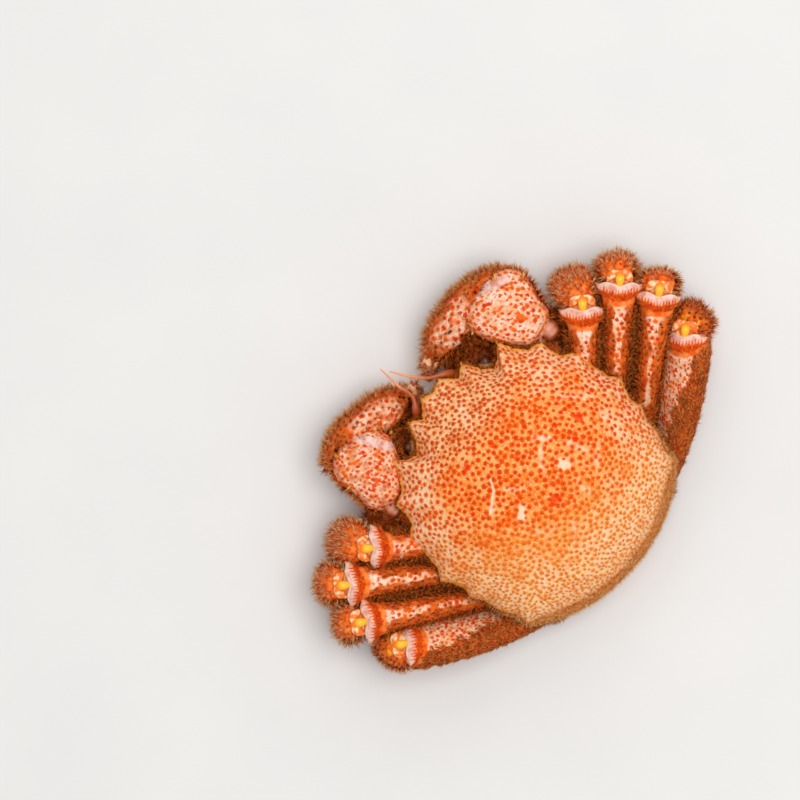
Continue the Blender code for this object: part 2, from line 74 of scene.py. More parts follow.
# Half of the shell's edge from the snout to the tail, as shares of half its width and length
EDGE = [
    (0.000, -0.968), (0.096, -1.000), (0.150, -0.945), (0.199, -0.889), (0.290, -0.954),
    (0.355, -0.815), (0.427, -0.741), (0.505, -0.775), (0.581, -0.856), (0.625, -0.740),
    (0.691, -0.646), (0.798, -0.605), (0.800, -0.510), (0.824, -0.426), (0.927, -0.346),
    (0.915, -0.250), (0.928, -0.164), (0.945, -0.051), (1.000, 0.026), (0.955, 0.110),
    (0.922, 0.200), (0.945, 0.278), (0.890, 0.390), (0.870, 0.528), (0.812, 0.630),
    (0.800, 0.734), (0.690, 0.790), (0.560, 0.860), (0.420, 0.925), (0.280, 0.968),
    (0.140, 0.992), (0.000, 1.000),
]
LEFT_EDGE = np.array(EDGE) * (SHELL_WIDTH / 2, SHELL_LENGTH / 2)
BIG_TEETH = (1, 4, 8, 11, 14, 18, 21, 23, 25)  # the points of the edge that are tips of teeth
# The trunk's walls: share of their depth, and their reach in front and behind
TRUNK_LEVELS = ((0.0, 0.72, 0.92), (0.35, 0.66, 0.90), (0.7, 0.60, 0.84), (1.0, 0.54, 0.70))
BREAST_HEIGHT = 3.6
BREAST_HALF_WIDTH = 25.0
BREAST_FRONT = -27.0
BREAST_REAR = 44.5
BREAST_SQUARENESS = 0.7
STEEPNESS = (2.25, 2.70)  # of the dome, in front and behind
FULLNESS = (0.86, 0.62)  # of the dome, in front and behind
TEETH_START = 0.72  # share of the way to the edge where the outline starts to follow the teeth
# The side wall: share of its depth, and its reach in front and behind
SKIRT_RINGS = ((0.0, 1.0, 1.0), (0.22, 0.97, 1.05), (0.65, 0.87, 1.06), (1.0, 0.77, 1.0))
# Swellings and dents of the back: place, radius and height
SWELLINGS = [
    (0, -14, 17, 1.4), (0, 20, 11, 1.3), (27, 12, 17, 1.3), (-27, 12, 17, 1.3),
    (30, -22, 10, 0.8), (-30, -22, 10, 0.8), (14, 4, 5, -1.0), (-14, 4, 5, -1.0),
]

# The points of the legs: hip, knee, lower end of the shin and tip of the claw
LEGS = {
    ("left", 1): dict(hip=(34, 1), knee=(64.2, -29.3, 29.0), shin=(68.6, -38.9), tip=(38, -2)),
    ("left", 2): dict(hip=(38, 13), knee=(81.4, -26.6, 30.0), shin=(84.1, -30.5), tip=(42, 9)),
    ("left", 3): dict(hip=(39, 26), knee=(88.0, -11.7, 29.0), shin=(91.0, -14.9), tip=(44, 23)),
    ("left", 4): dict(hip=(36, 41), knee=(83.8, 6.4, 26.0), shin=(88.4, 6.8), tip=(41, 40)),
    ("right", 1): dict(hip=(34, 1), knee=(65.6, -29.9, 29.5), shin=(70.0, -39.5), tip=(38, -2)),
    ("right", 2): dict(hip=(38, 13), knee=(82.9, -25.4, 30.5), shin=(85.6, -29.3), tip=(42, 9)),
    ("right", 3): dict(hip=(39, 26), knee=(90.2, -10.8, 29.5), shin=(92.2, -12.8), tip=(44, 23)),
    ("right", 4): dict(hip=(36, 41), knee=(85.4, 7.6, 26.5), shin=(92.5, 8.3), tip=(41, 40)),
}
LEAN = {1: 6, 2: 2, 3: 5, 4: 48}  # degrees that the thighs turn about their own length
SHIFT = {1: 0.0, 2: 0.0, 3: 0.0, 4: 2.4}  # how far back the thighs lie of the line from hip to knee
SHIN_SCALE = {1: 1.12, 2: 1.0, 3: 1.0, 4: 1.04}
HIP_HEIGHT = 10.5
HIP_LENGTH = 17.0
HIP_BEND = 5.0
ROOT_DROP = 0.5
THIGH_ARCH = 3.0
KNEE_SETBACK = 2.0
SHIN_TOP = (3.6, 5.5)
SHIN_BULGE = (2.4, 3.5)
SHORT_SHINS = {("left", 4): 1.2, ("right", 3): 1.8}  # these stand out that much less
SHIN_END_HEIGHT = 13.2
SOLE_HEIGHT = 5.7
TOE_HEIGHT = 4.2
TIP_HEIGHT = 1.2
HEEL = 2.5
# Cross-sections of limbs: share of the length, half width and half height
HIP = ((0.0, 5.0, 5.6), (0.4, 5.0, 6.4), (0.8, 4.4, 6.4), (1.0, 3.7, 5.5))
THIGH = (
    (0.00, 3.8, 5.6), (0.10, 4.0, 6.6), (0.35, 4.6, 8.4), (0.62, 5.3, 9.0),
    (0.82, 5.9, 8.9), (0.92, 7.0, 8.6), (1.00, 7.0, 7.6),
)
FOURTH_THIGH = (
    (0.00, 3.8, 6.0), (0.10, 4.5, 7.8), (0.35, 5.2, 10.4), (0.62, 5.6, 11.0),
    (0.82, 6.1, 10.4), (0.92, 6.8, 9.7), (1.00, 6.8, 8.4),
)
SHIN = (
    (0.00, 3.8, 3.0), (0.08, 5.8, 4.5), (0.25, 7.2, 5.4), (0.50, 7.6, 5.7),
    (0.75, 6.9, 5.4), (0.92, 5.6, 4.6), (1.00, 4.2, 3.6),
)
FOOT = (
    (0.00, 3.6, 3.9), (0.10, 4.7, 5.2), (0.30, 5.0, 5.7), (0.60, 4.4, 5.2),
    (0.90, 3.7, 4.4), (1.00, 3.0, 3.6),
)
TOE = ((0.00, 2.6, 2.9), (0.10, 3.0, 3.4), (0.45, 2.5, 2.8), (0.80, 1.4, 1.6), (1.00, 0.4, 0.5))

ARM_PATH = ((12, -12, 12), (25, -18.5, 13.5), (36, -23.5, 17.5), (45.0, -28.0, 22.0))
ARM_JOINT = 0.34
ARM = ((0.0, 4.2, 6.0), (0.3, 5.2, 7.2), (0.7, 6.0, 8.2), (0.92, 6.2, 8.0), (1.0, 5.0, 6.4))
PINCERS = {
    "left": dict(
        wrist=((46.2, -34.6, 25.5), (40.4, -47.0, 26.8), (36.4, -63.2, 24.8)),
        hand=((50.0, -61.5, 22.0), (39.5, -65.0, 22.5), (24.0, -60.6, 20.5), (11.0, -58.2, 14.5)),
        upper=((6.8, -57.6, 18.6), (5.0, -57.0, 14.2), (3.4, -55.6, 9.0), (2.4, -54.2, 5.6)),
        lower=((16.0, -58.8, 13.0), (11.4, -58.1, 10.6), (6.4, -56.9, 7.2), (3.2, -54.0, 3.0)),
    ),
    "right": dict(
        wrist=((47.4, -34.6, 25.5), (44.6, -48.0, 26.8), (43.4, -64.6, 24.8)),
        hand=((54.0, -62.0, 22.5), (43.0, -65.0, 23.0), (27.0, -62.4, 20.5), (13.0, -60.4, 14.5)),
        upper=((9.3, -59.9, 18.8), (6.7, -59.0, 14.2), (3.8, -56.8, 9.0), (2.6, -55.0, 5.6)),
        lower=((18.0, -61.0, 13.0), (13.4, -60.3, 10.6), (7.8, -58.8, 7.2), (3.4, -54.6, 3.0)),
    ),
}
WRIST_WIDTH = {"left": 0.88, "right": 1.0}
WRIST = (
    (0.00, 5.4, 4.6), (0.07, 8.0, 7.4), (0.20, 9.8, 9.4), (0.38, 12.6, 10.6),
    (0.60, 15.0, 10.8), (0.75, 15.0, 10.4), (0.91, 11.2, 8.6), (1.00, 7.4, 6.0),
)
HAND = (
    (0.00, 2.6, 4.6), (0.07, 3.6, 7.4), (0.25, 5.0, 9.4), (0.45, 7.2, 10.2),
    (0.62, 8.4, 10.6), (0.82, 8.0, 9.6), (1.00, 5.2, 7.4),
)
FINGER = ((0.0, 3.4, 3.3), (0.25, 3.3, 3.0), (0.6, 2.6, 2.3), (0.88, 1.5, 1.4), (1.0, 0.5, 0.5))

FEELER_PATHS = {
    "left": (
        (10.8, -46.0, 25.2), (10.9, -49.4, 30.0), (9.6, -51.8, 34.0),
        (7.0, -55.4, 35.0), (7.4, -62.5, 34.0), (7.2, -72.6, 32.5),
    ),
    "right": (
        (-10.8, -46.0, 25.2), (-10.9, -49.4, 30.0), (-8.6, -52.1, 34.0),
        (-2.8, -56.2, 35.2), (1.6, -62.0, 34.2), (5.4, -69.2, 33.2),
    ),
}
FEELER = (
    (0.0, 1.6, 1.6), (0.18, 1.8, 1.7), (0.34, 1.4, 1.3), (0.40, 0.95, 0.95),
    (0.5, 0.75, 0.75), (0.75, 0.5, 0.5), (1.0, 0.22, 0.22),
)
ELBOW_PATH = ((43.0, -27.0, 17.0), (50.0, -31.5, 17.5), (56.5, -35.0, 16.5))
ELBOW = ((0.0, 4.0, 5.0), (0.4, 5.6, 6.6), (0.8, 5.0, 6.0), (1.0, 3.4, 4.2))
CHEEK_PATH = ((5.0, -45.0, 15.5), (13.5, -47.5, 16.5), (23.0, -47.0, 17.0), (33.0, -40.0, 16.5))
CHEEK = ((0.0, 3.2, 4.5), (0.3, 4.6, 6.0), (0.7, 4.8, 6.2), (1.0, 3.8, 5.0))
FACE_PATH = ((0, -18, 13), (0, -33, 15.5), (0, -42.0, 17.0))
FACE = ((0.0, 20, 8.0), (0.5, 20, 8.8), (0.9, 17, 8.2), (1.0, 14, 6.6))
EYE_PATH = ((19.0, -38.0, 24.5), (21.5, -41.5, 27.5), (23.5, -44.0, 29.0))
EYE = (
    (0.0, 1.6, 1.6), (0.35, 1.5, 1.5), (0.5, 2.1, 2.1),
    (0.72, 2.8, 2.8), (0.9, 2.3, 2.3), (1.0, 1.5, 1.5),
)
MOUTH_PATH = ((5.2, -34.0, 4.4), (5.3, -42.8, 7.4), (5.2, -46.9, 14.0), (5.1, -46.2, 21.5))
MOUTH_PLATE = ((0.0, 2.2, 1.2), (0.15, 4.4, 1.9), (0.6, 4.7, 2.1), (0.9, 3.6, 1.7), (1.0, 2.0, 1.0))
FLAP_PATH = (
    (0, 51.0, 18.0), (0, 52.6, 10.5), (0, 48.4, 3.6), (0, 36.0, 1.3), (0, 14.0, 1.3), (0, -11.0, 1.3),
)
FLAP = (
    (0.0, 16.5, 1.6), (0.14, 16.0, 1.9), (0.30, 14.8, 1.7), (0.46, 13.0, 1.5),
    (0.75, 9.6, 1.5), (0.93, 5.6, 1.5), (1.0, 3.2, 1.4),
)

# ---------------------------------------------------------------- camera, light and floor

VIEW_CENTRE = (11.2, -58.7)  # what the camera is straight above
VIEW_TURN = 131.7  # degrees from the crab's own X axis to the right of the picture
VIEW_HEIGHT = 1530.0
LENS = 168.75
FARTHEST_SEEN = 20  # metres
FLOOR_REACH = 3000
# The soft lights: place and size in metres, and power
LIGHTS = {"top_light": ((-0.2, 0.15, 1.6), 1.0, 15.5), "side_light": ((-0.9, -0.9, 1.1), 1.0, 3)}
SKY = (1.0, 0.99, 0.97, 1)
SKY_STRENGTH = 0.5


def make_stage():
    """The camera above the crab, the pale floor and the soft light."""
    camera = bpy.data.objects.new("camera", bpy.data.cameras.new("camera"))
    camera.data.lens = LENS
    camera.data.clip_end = FARTHEST_SEEN
    place = Matrix.Translation((VIEW_CENTRE[0] * MM, VIEW_CENTRE[1] * MM, VIEW_HEIGHT * MM))
    camera.matrix_world = place @ Matrix.Rotation(math.radians(VIEW_TURN), 4, "Z")
    bpy.context.scene.collection.objects.link(camera)
    bpy.context.scene.camera = camera
    bpy.context.scene.view_settings.view_transform = "Standard"

    floor = Finish("pale_floor", Roughness=0.7)
    floor.paint("Base Color", floor.blend(floor.noise(60), tone(228, 227, 226), tone(236, 235, 233)))
    corners = FLOOR_REACH * np.array([(-1, -1, 0), (1, -1, 0), (1, 1, 0), (-1, 1, 0)])
    make_object("floor", corners, [(0, 1, 2, 3)], floor, {})

    for name, (place, size, power) in LIGHTS.items():
        light = bpy.data.lights.new(name, "AREA")
        light.energy = power
        light.size = size
        lamp = bpy.data.objects.new(name, light)
        aim = Matrix.Translation(place).to_translation()
        lamp.matrix_world = Matrix.Translation(place) @ aim.to_track_quat("Z", "Y").to_matrix().to_4x4()
        bpy.context.scene.collection.objects.link(lamp)
    world = bpy.data.worlds.new("studio")
    world.use_nodes = True
    sky = world.node_tree.nodes["Background"]
    sky.inputs["Color"].default_value = SKY
    sky.inputs["Strength"].default_value = SKY_STRENGTH
    bpy.context.scene.world = world


# ---------------------------------------------------------------- finishes


def tone(red, green, blue):
    """A colour as it is seen, each part from 0 to 255, as the shader's linear values."""
    shares = [part / 255 for part in (red, green, blue)]
    return tuple(s / 12.92 if s <= 0.04045 else ((s + 0.055) / 1.055) ** 2.4 for s in shares)


class Wire:
    """A value in a finish. Arithmetic on it adds Math nodes."""

    def __init__(self, finish, socket):
        self.finish = finish
        self.socket = socket

    def math(self, operation, *values):
        made = self.finish.tree.nodes.new("ShaderNodeMath")
        made.operation = operation
        for socket, value in zip(made.inputs, values):
            self.finish.feed(socket, value)
        return Wire(self.finish, made.outputs[0])

    def __add__(self, other):
        return self.math("ADD", self, other)

    def __sub__(self, other):
        return self.math("SUBTRACT", self, other)

    def __rsub__(self, other):
        return self.math("SUBTRACT", other, self)

    def __mul__(self, other):
        return self.math("MULTIPLY", self, other)

    __radd__ = __add__
    __rmul__ = __mul__

    def step(self, low, high):
        """0 below low, 1 above high, and smooth between them."""
        settings = {"interpolation_type": "SMOOTHSTEP"}
        values = {"Value": self, "From Min": low, "From Max": high}
        return self.finish.node("ShaderNodeMapRange", settings, values)


class Finish:
    """A material. What is the same all over it is given as constants of its shader."""

    def __init__(self, name, **constants):
        self.material = bpy.data.materials.new(name)
        self.material.use_nodes = True
        self.tree = self.material.node_tree
        self.shader = self.tree.nodes["Principled BSDF"]
        for socket, value in constants.items():
            self.shader.inputs[socket.replace("_", " ")].default_value = value
        self.place = self.node("ShaderNodeTexCoord", output="Object")

    def feed(self, socket, value):
        if isinstance(value, Wire):
            self.tree.links.new(value.socket, socket)
        elif isinstance(value, tuple) and socket.type == "RGBA":
            socket.default_value = (*value, 1)
        else:
            socket.default_value = value

    def node(self, kind, settings=None, values=None, output=0):
        made = self.tree.nodes.new(kind)
        for name, setting in (settings or {}).items():
            setattr(made, name, setting)
        for socket, value in (values or {}).items():
            self.feed(made.inputs[socket], value)
        return Wire(self, made.outputs[output])

    def painted(self, name):
        """What the piece's points carry under this name."""
        return self.node("ShaderNodeAttribute", {"attribute_name": name}, output="Fac")

    def noise(self, size, detail=2.0, rough=0.5):
        """Noise from 0 to 1, with features of about this size in mm."""
        values = {"Vector": self.place, "Scale": 1 / (size * MM), "Detail": detail, "Roughness": rough}
        return self.node("ShaderNodeTexNoise", None, values)

    def blend(self, share, below, above):
        settings = {"data_type": "RGBA", "clamp_factor": True}
        return self.node("ShaderNodeMix", settings, {0: share, 6: below, 7: above}, 2)

    def bump(self, height, depth):
        """Fine relief, this deep in mm."""
        values = {"Height": height, "Distance": depth * MM, "Strength": 1.0}
        self.paint("Normal", self.node("ShaderNodeBump", None, values))

    def paint(self, socket, value):
        self.feed(self.shader.inputs[socket], value)


def shell_finish():
    """Granules, red or orange, with dark middles that are partly their tufts' dark bristles and partly
    painted shadow of the tufts, in a net that is orange in the middle of the back.

    Its points carry how near they are to a granule's middle, a shade of that granule's own, and how
    much they belong to the warm middle, the rear, the snout, the rim, the underside, a red patch or
    a pale scar.
    """
    made = Finish("boiled_shell", Specular_IOR_Level=0.2, Specular_Tint=SHEEN)
    near, shade, warmth = made.painted("near"), made.painted("shade"), made.painted("warmth")
    rear, snout = made.painted("rear"), made.painted("snout")
    fine, mottle, cloud = made.noise(0.7, 3), made.noise(3.0, 2), made.noise(9, 2)
    ragged = (fine - 0.5) * 1.25
    pale = (mottle + cloud - 0.9 + made.noise(1.2, 2) * 0.9 - 0.3 - warmth * 0.15).step(-0.15, 0.3)
    net = made.blend(pale, tone(250, 170, 98), tone(255, 216, 176))
    net = made.blend(rear * mottle.step(0.4, 0.65) * 0.6, net, tone(252, 204, 122))
    warm_net = made.blend(pale, tone(247, 122, 30), tone(253, 172, 94))
    net = made.blend(warmth.step(0.1, 0.75), net, warm_net)
    net = made.blend(snout * 0.9, net, made.blend(pale, tone(232, 138, 72), tone(253, 196, 138)))
    net = made.blend(made.noise(0.55, 1).step(0.56, 0.7) * 0.6, net, tone(255, 226, 190))
    net = made.blend(made.noise(0.8, 1).step(0.58, 0.7) * 0.5, net, tone(250, 176, 60))
    grain = made.blend(warmth.step(0.1, 0.8), tone(238, 100, 16), tone(236, 80, 0))
    grain = made.blend(shade.step(0.3, 0.95) * 0.8, grain, tone(226, 58, 0))
    grain = made.blend(rear * 0.75, grain, tone(244, 140, 40))
    grain = made.blend(snout * 0.75, grain, tone(204, 74, 12))
    colour = made.blend((near + ragged).step(-0.05, 0.55), net, grain)
    # Each granule's dark middle stands for its tuft's dark bristles and, in part, their painted shadow.
    dark_tuft_and_shadow = (near + ragged * 0.5).step(0.66, 1.0)
    colour = made.blend(dark_tuft_and_shadow * (0.9 - shade * 0.5 - rear * 0.45), colour, tone(150, 48, 0))
    colour = made.blend((made.painted("red") + ragged).step(0.2, 0.9) * 0.8, colour, tone(236, 50, 0))
    worn = (made.painted("scar") + (mottle - 0.5) * 0.8 + ragged * 0.9 - near * 0.5).step(0.15, 1.05)
    colour = made.blend(worn * 0.85, colour, tone(255, 222, 190))
    colour = made.blend(made.painted("rim") * (mottle + 0.25).step(0.4, 0.9), colour, tone(248, 168, 54))
    colour = made.blend(made.painted("under"), colour, tone(226, 150, 80))
    made.paint("Base Color", colour)
    made.paint("Roughness", 0.5 - near * 0.12)
    made.bump(fine, 0.16)
    return made


# What a limb's points may be painted with: a pair of colours that its mottling goes between
LIMB_PAINTS = {
    "pale": ((244, 176, 124), (254, 216, 180)),
    "fur": ((176, 70, 20), (228, 118, 52)),
    "cream": ((246, 176, 126), (255, 222, 198)),
    "gold": ((247, 136, 20), (253, 186, 60)),
    "orange": ((242, 92, 12), (254, 150, 74)),
    # The last pair is dark brown: partly the hair's own colour and partly painted shade, for skin that
    # faces down, lies between the legs or sits under the shell.
    "brown_and_shade": ((66, 20, 2), (128, 50, 14)),
}
# The same for the paints that lie over the granules
LIMB_LATE_PAINTS = {
    "red": ((222, 54, 0), (248, 112, 24)),
    "white": ((250, 206, 176), (255, 236, 220)),
    "pink": ((222, 148, 130), (246, 208, 196)),
}


def limb_finish():
    """A limb's shell: its points carry how much of each of the paints they show."""
    made = Finish("limb_shell", Specular_IOR_Level=0.22, Specular_Tint=SHEEN)
    near, shade = made.painted("near"), made.painted("shade")
    fine, mottle = made.noise(0.8, 3), made.noise(3, 2)
    ragged = (fine - 0.5) * 1.2
    share = mottle.step(0.3, 0.65)

    def cover(colour, paints):
        for name, (low, high) in paints.items():
            amount = (made.painted(name) + (mottle - 0.5) * 0.5 + ragged * 0.2).step(0.15, 0.85)
            colour = made.blend(amount, colour, made.blend(share, tone(*low), tone(*high)))
        return colour

    colour = cover(made.blend(share, tone(190, 76, 22), tone(232, 118, 50)), LIMB_PAINTS)
    grain = made.blend(shade.step(0.2, 0.9), tone(240, 104, 20), tone(222, 58, 2))
    # Granules turn browner under the dark brown paint, which is partly painted shade.
    grain = made.blend(made.painted("brown_and_shade").step(0.2, 0.8), grain, tone(150, 56, 14))
    colour = made.blend((near + ragged + (mottle - 0.5) * 0.7).step(0.06, 0.5), colour, grain)
    # The granules' dark middles: their tufts' dark bristles and, in part, painted shadow of them, fainter
    # under fur.
    dark_tuft_and_shadow = (near + ragged * 0.6).step(0.62, 1.0) * (0.9 - shade * 0.5) * (1 - made.painted("fur") * 0.65)
    colour = made.blend(dark_tuft_and_shadow, colour, tone(150, 48, 4))
    speck = made.noise(1.0, 1).step(0.6, 0.72) * (1 - near.step(0.0, 0.3))
    colour = made.blend(speck * 0.55, colour, tone(206, 84, 30))
    made.paint("Base Color", cover(colour, LIMB_LATE_PAINTS))
    made.paint("Roughness", 0.48 - near * 0.1)
    made.bump(fine, 0.16)
    return made


def smooth_finish(name, middle, edge, wet=0.3):
    """Smooth boiled skin or horn that goes from one colour in the middle to another at its ends."""
    made = Finish(name, Specular_IOR_Level=0.5)
    mottle = made.noise(2.2, 3)
    colour = made.blend((made.painted("end") + (mottle - 0.5) * 0.5).step(0.2, 0.85), middle, edge)
    made.paint("Base Color", colour)
    made.paint("Roughness", wet + mottle * 0.15)
    made.bump(made.noise(0.8, 2), 0.08)
    return made


def bristle_finish(name, root, tip):
    """Bristles that go from one colour at the root to another at the tip, no two alike."""
    made = Finish(name, Specular_IOR_Level=0.15, Specular_Tint=SHEEN, Roughness=0.5)
    colour = made.blend(made.painted("tip").step(0.05, 0.75), root, tip)
    dark = tuple(part * 0.6 for part in root)
    made.paint("Base Color", made.blend(made.painted("shade") * 0.75, colour, dark))
    return made


# ---------------------------------------------------------------- meshes and surfaces


def make_object(name, points, faces, finish, painted):
    """A smooth object from points in mm, its faces, and what is painted on its points."""
    mesh = bpy.data.meshes.new(name)
    mesh.from_pydata((np.asarray(points) * MM).tolist(), [], faces)
    for key, values in painted.items():
        store = mesh.attributes.new(key, "FLOAT", "POINT")
        store.data.foreach_set("value", np.asarray(values, np.float32).ravel())
    mesh.shade_smooth()
    mesh.materials.append(finish.material)
    made = bpy.data.objects.new(name, mesh)
    bpy.context.scene.collection.objects.link(made)
    return made


def finished(piece, slot, *nodes):
    """The piece moves with the crab and stands for the solids named."""
    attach(piece, "root")
    if nodes:
        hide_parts(*nodes)
    return piece


def unit(vectors):
    """The vectors' directions, each one long."""
    return vectors / np.maximum(np.linalg.norm(vectors, axis=-1, keepdims=True), TINY)


def smooth(value, low=0.0, high=1.0):
    """0 below low, 1 above high, and smooth between them."""
    share = np.clip((value - low) / (high - low), 0, 1)
    return share * share * (3 - 2 * share)


def bump_at(value, middle, width):
    """1 at the middle, falling to 0 at this distance from it."""
    return smooth(1 - np.abs(value - middle) / width)


def ripple(points, size, seed, count=9):
    """Smooth random values, mostly from -1 to 1, that change over about this distance."""
    rng = np.random.default_rng(seed)
    waves = unit(rng.normal(0, 1, (count, 3))) * rng.uniform(0.5, 1.5, (count, 1)) * 2 * math.pi / size
    phases = rng.uniform(0, 2 * math.pi, count)
    return np.sin(points @ waves.T + phases).sum(axis=-1) / math.sqrt(count)


def smooth_values(knots, values, at):
    """Values, at places along it, of the smooth curve through the knots."""
    knots, values = np.asarray(knots, float), np.asarray(values, float)
    at = np.clip(at, knots[0], knots[-1])
    i = np.clip(np.searchsorted(knots, at, side="right") - 1, 0, len(knots) - 2)
    spans = np.diff(knots)[:, None]
    steps = np.diff(values, axis=0) / spans
    inner = (steps[:-1] * spans[1:] + steps[1:] * spans[:-1]) / (spans[1:] + spans[:-1])
    slopes = np.concatenate([steps[:1], inner, steps[-1:]])
    t = ((at - knots[i]) / spans[i, 0])[:, None]
    bend = (slopes[i] * (1 - t) - slopes[i + 1] * t) * t * (1 - t) * spans[i]
    return values[i] + (values[i + 1] - values[i]) * smooth(t) + bend


def grid_faces(rows, columns, closed):
    """Four-sided faces of a grid of points; a closed one joins its last column to its first."""
    lines = np.arange(columns if closed else columns - 1)
    row, column = np.meshgrid(np.arange(rows - 1), lines, indexing="ij")
    here, below = row * columns, (row + 1) * columns
    after = (column + 1) % columns
    corners = (here + column, here + after, below + after, below + column)
    return np.stack([corner.ravel() for corner in corners], axis=1)


TRIED_PLACES = 11.0  # how many are tried for a granule in a square as wide as the spacing


class Surface:
    """A grid of points, which a tube closes round from its last column to its first."""

    def __init__(self, points, closed=True):
        self.points = points
        self.closed = closed
        self.fields = {}

    def normals(self):
        """Unit vectors that point out of it."""
        wider = np.pad(self.points, ((0, 0), (1, 1), (0, 0)), mode="wrap" if self.closed else "edge")
        ways = unit(np.cross(wider[:, 2:] - wider[:, :-2], np.gradient(self.points, axis=0)))
        away = self.points - self.points.mean(axis=(0, 1)) if self.closed else UP
        return ways * (1 if (ways * away).sum() > 0 else -1)

    def paint(self, **shares):
        """Sets how much of each paint its points carry."""
        for name, share in shares.items():
            self.fields[name] = np.broadcast_to(share, self.points.shape[:2])

    def scatter(self, per_mm2, amount, seed):
        """Random places on it: corners of faces and shares, where amount is 0 to 1 at each point."""
        rng = np.random.default_rng(seed)
        faces = grid_faces(*self.points.shape[:2], closed=self.closed)
        a, b, c, d = (self.points.reshape(-1, 3)[faces[:, k]] for k in range(4))
        areas = np.linalg.norm(np.cross(c - a, d - b), axis=1) / 2
        amount = np.broadcast_to(amount, self.points.shape[:2]).ravel()[faces].mean(axis=1)
        wanted = areas * amount * per_mm2
        counts = np.floor(wanted + rng.random(len(wanted))).astype(int)
        index = rng.permutation(np.repeat(np.arange(len(faces)), counts))
        return faces[index], rng.random((len(index), 2))

    def at(self, places, values):
        """Values of a field of the points at scattered places."""
        faces, shares = places
        values = values.reshape(self.points.shape[0] * self.points.shape[1], -1)
        u, v = shares[:, :1], shares[:, 1:]
        a, b, c, d = (values[faces[:, k]] for k in range(4))
        return (a * (1 - u) + b * u) * (1 - v) + (d * (1 - u) + c * u) * v

    def granules(self, spacing, amount, seed, height, reach=0.56, vary=0.18):
        """Raises granules this far apart, paints how near their middles are, and says where they are.

        Reach is a granule's radius as a share of its spacing, and vary how much the radii differ.
        """
        spacing = np.broadcast_to(spacing, self.points.shape[:2]) * 1.0
        amount = np.broadcast_to(amount, self.points.shape[:2])
        places = self.scatter(TRIED_PLACES / spacing.min() ** 2, amount, seed)
        room = self.at(places, spacing)[:, 0]
        spots = self.at(places, self.points)
        kept = spread_out(spots, room)
        places, spots, room = (places[0][kept], places[1][kept]), spots[kept], room[kept]
        tree = KDTree(len(kept))
        for index, spot in enumerate(spots):
            tree.insert(spot, index)
        tree.balance()
        found = [tree.find(point)[1:] for point in self.points.reshape(-1, 3).tolist()]
        which = np.array([index for index, _ in found])
        distance = np.array([far for _, far in found])
        rng = np.random.default_rng(seed + 1)
        radius = room * reach * rng.uniform(1 - vary, 1 + vary, len(kept))
        near = np.clip(1 - distance / radius[which], 0, 1).reshape(amount.shape) * smooth(amount, 0.05, 0.4)
        self.paint(near=near, shade=rng.random(len(kept))[which].reshape(near.shape))
        self.points = self.points + self.normals() * (height * smooth(near * 1.5))[..., None]
        return places

    def solid(self, name, finish, slot, *nodes):
        """A closed piece: the tube with its two ends filled."""
        rows, columns = self.points.shape[:2]
        ends = np.stack([self.points[0].mean(axis=0), self.points[-1].mean(axis=0)])
        points = np.concatenate([self.points.reshape(-1, 3), ends])
        points[:, 2] = np.maximum(points[:, 2], FLOOR_GAP)
        ring = np.arange(columns)
        after, last, tip = (ring + 1) % columns, (rows - 1) * columns, rows * columns
        faces = grid_faces(rows, columns, closed=True).tolist()
        faces += np.stack([after, ring, np.full(columns, tip)], axis=1).tolist()
        faces += np.stack([last + ring, last + after, np.full(columns, tip + 1)], axis=1).tolist()
        painted = {}
        for key, field in self.fields.items():
            painted[key] = np.concatenate([field.ravel(), [field[0].mean(), field[-1].mean()]])
        return finished(make_object(name, points, faces, finish, painted), slot, *nodes)


def spread_out(points, spacing):
    """Which points to keep, so that each has its own spacing to all that were kept before it."""
    cell = spacing.max() if len(spacing) else 1.0
    kept, grid = [], {}
    around = [(i, j, k) for i in (-1, 0, 1) for j in (-1, 0, 1) for k in (-1, 0, 1)]
    for index, ((x, y, z), room) in enumerate(zip(points.tolist(), spacing.tolist())):
        i, j, k = int(x // cell), int(y // cell), int(z // cell)
        room *= room
        close = (spot for di, dj, dk in around for spot in grid.get((i + di, j + dj, k + dk), ()))
        if all((px - x) ** 2 + (py - y) ** 2 + (pz - z) ** 2 >= room for px, py, pz in close):
            grid.setdefault((i, j, k), []).append((x, y, z))
            kept.append(index)
    return np.array(kept, int)


DOME_ANGLES = np.radians((16, 32, 48, 64, 80))  # the rings that round off each end of a limb


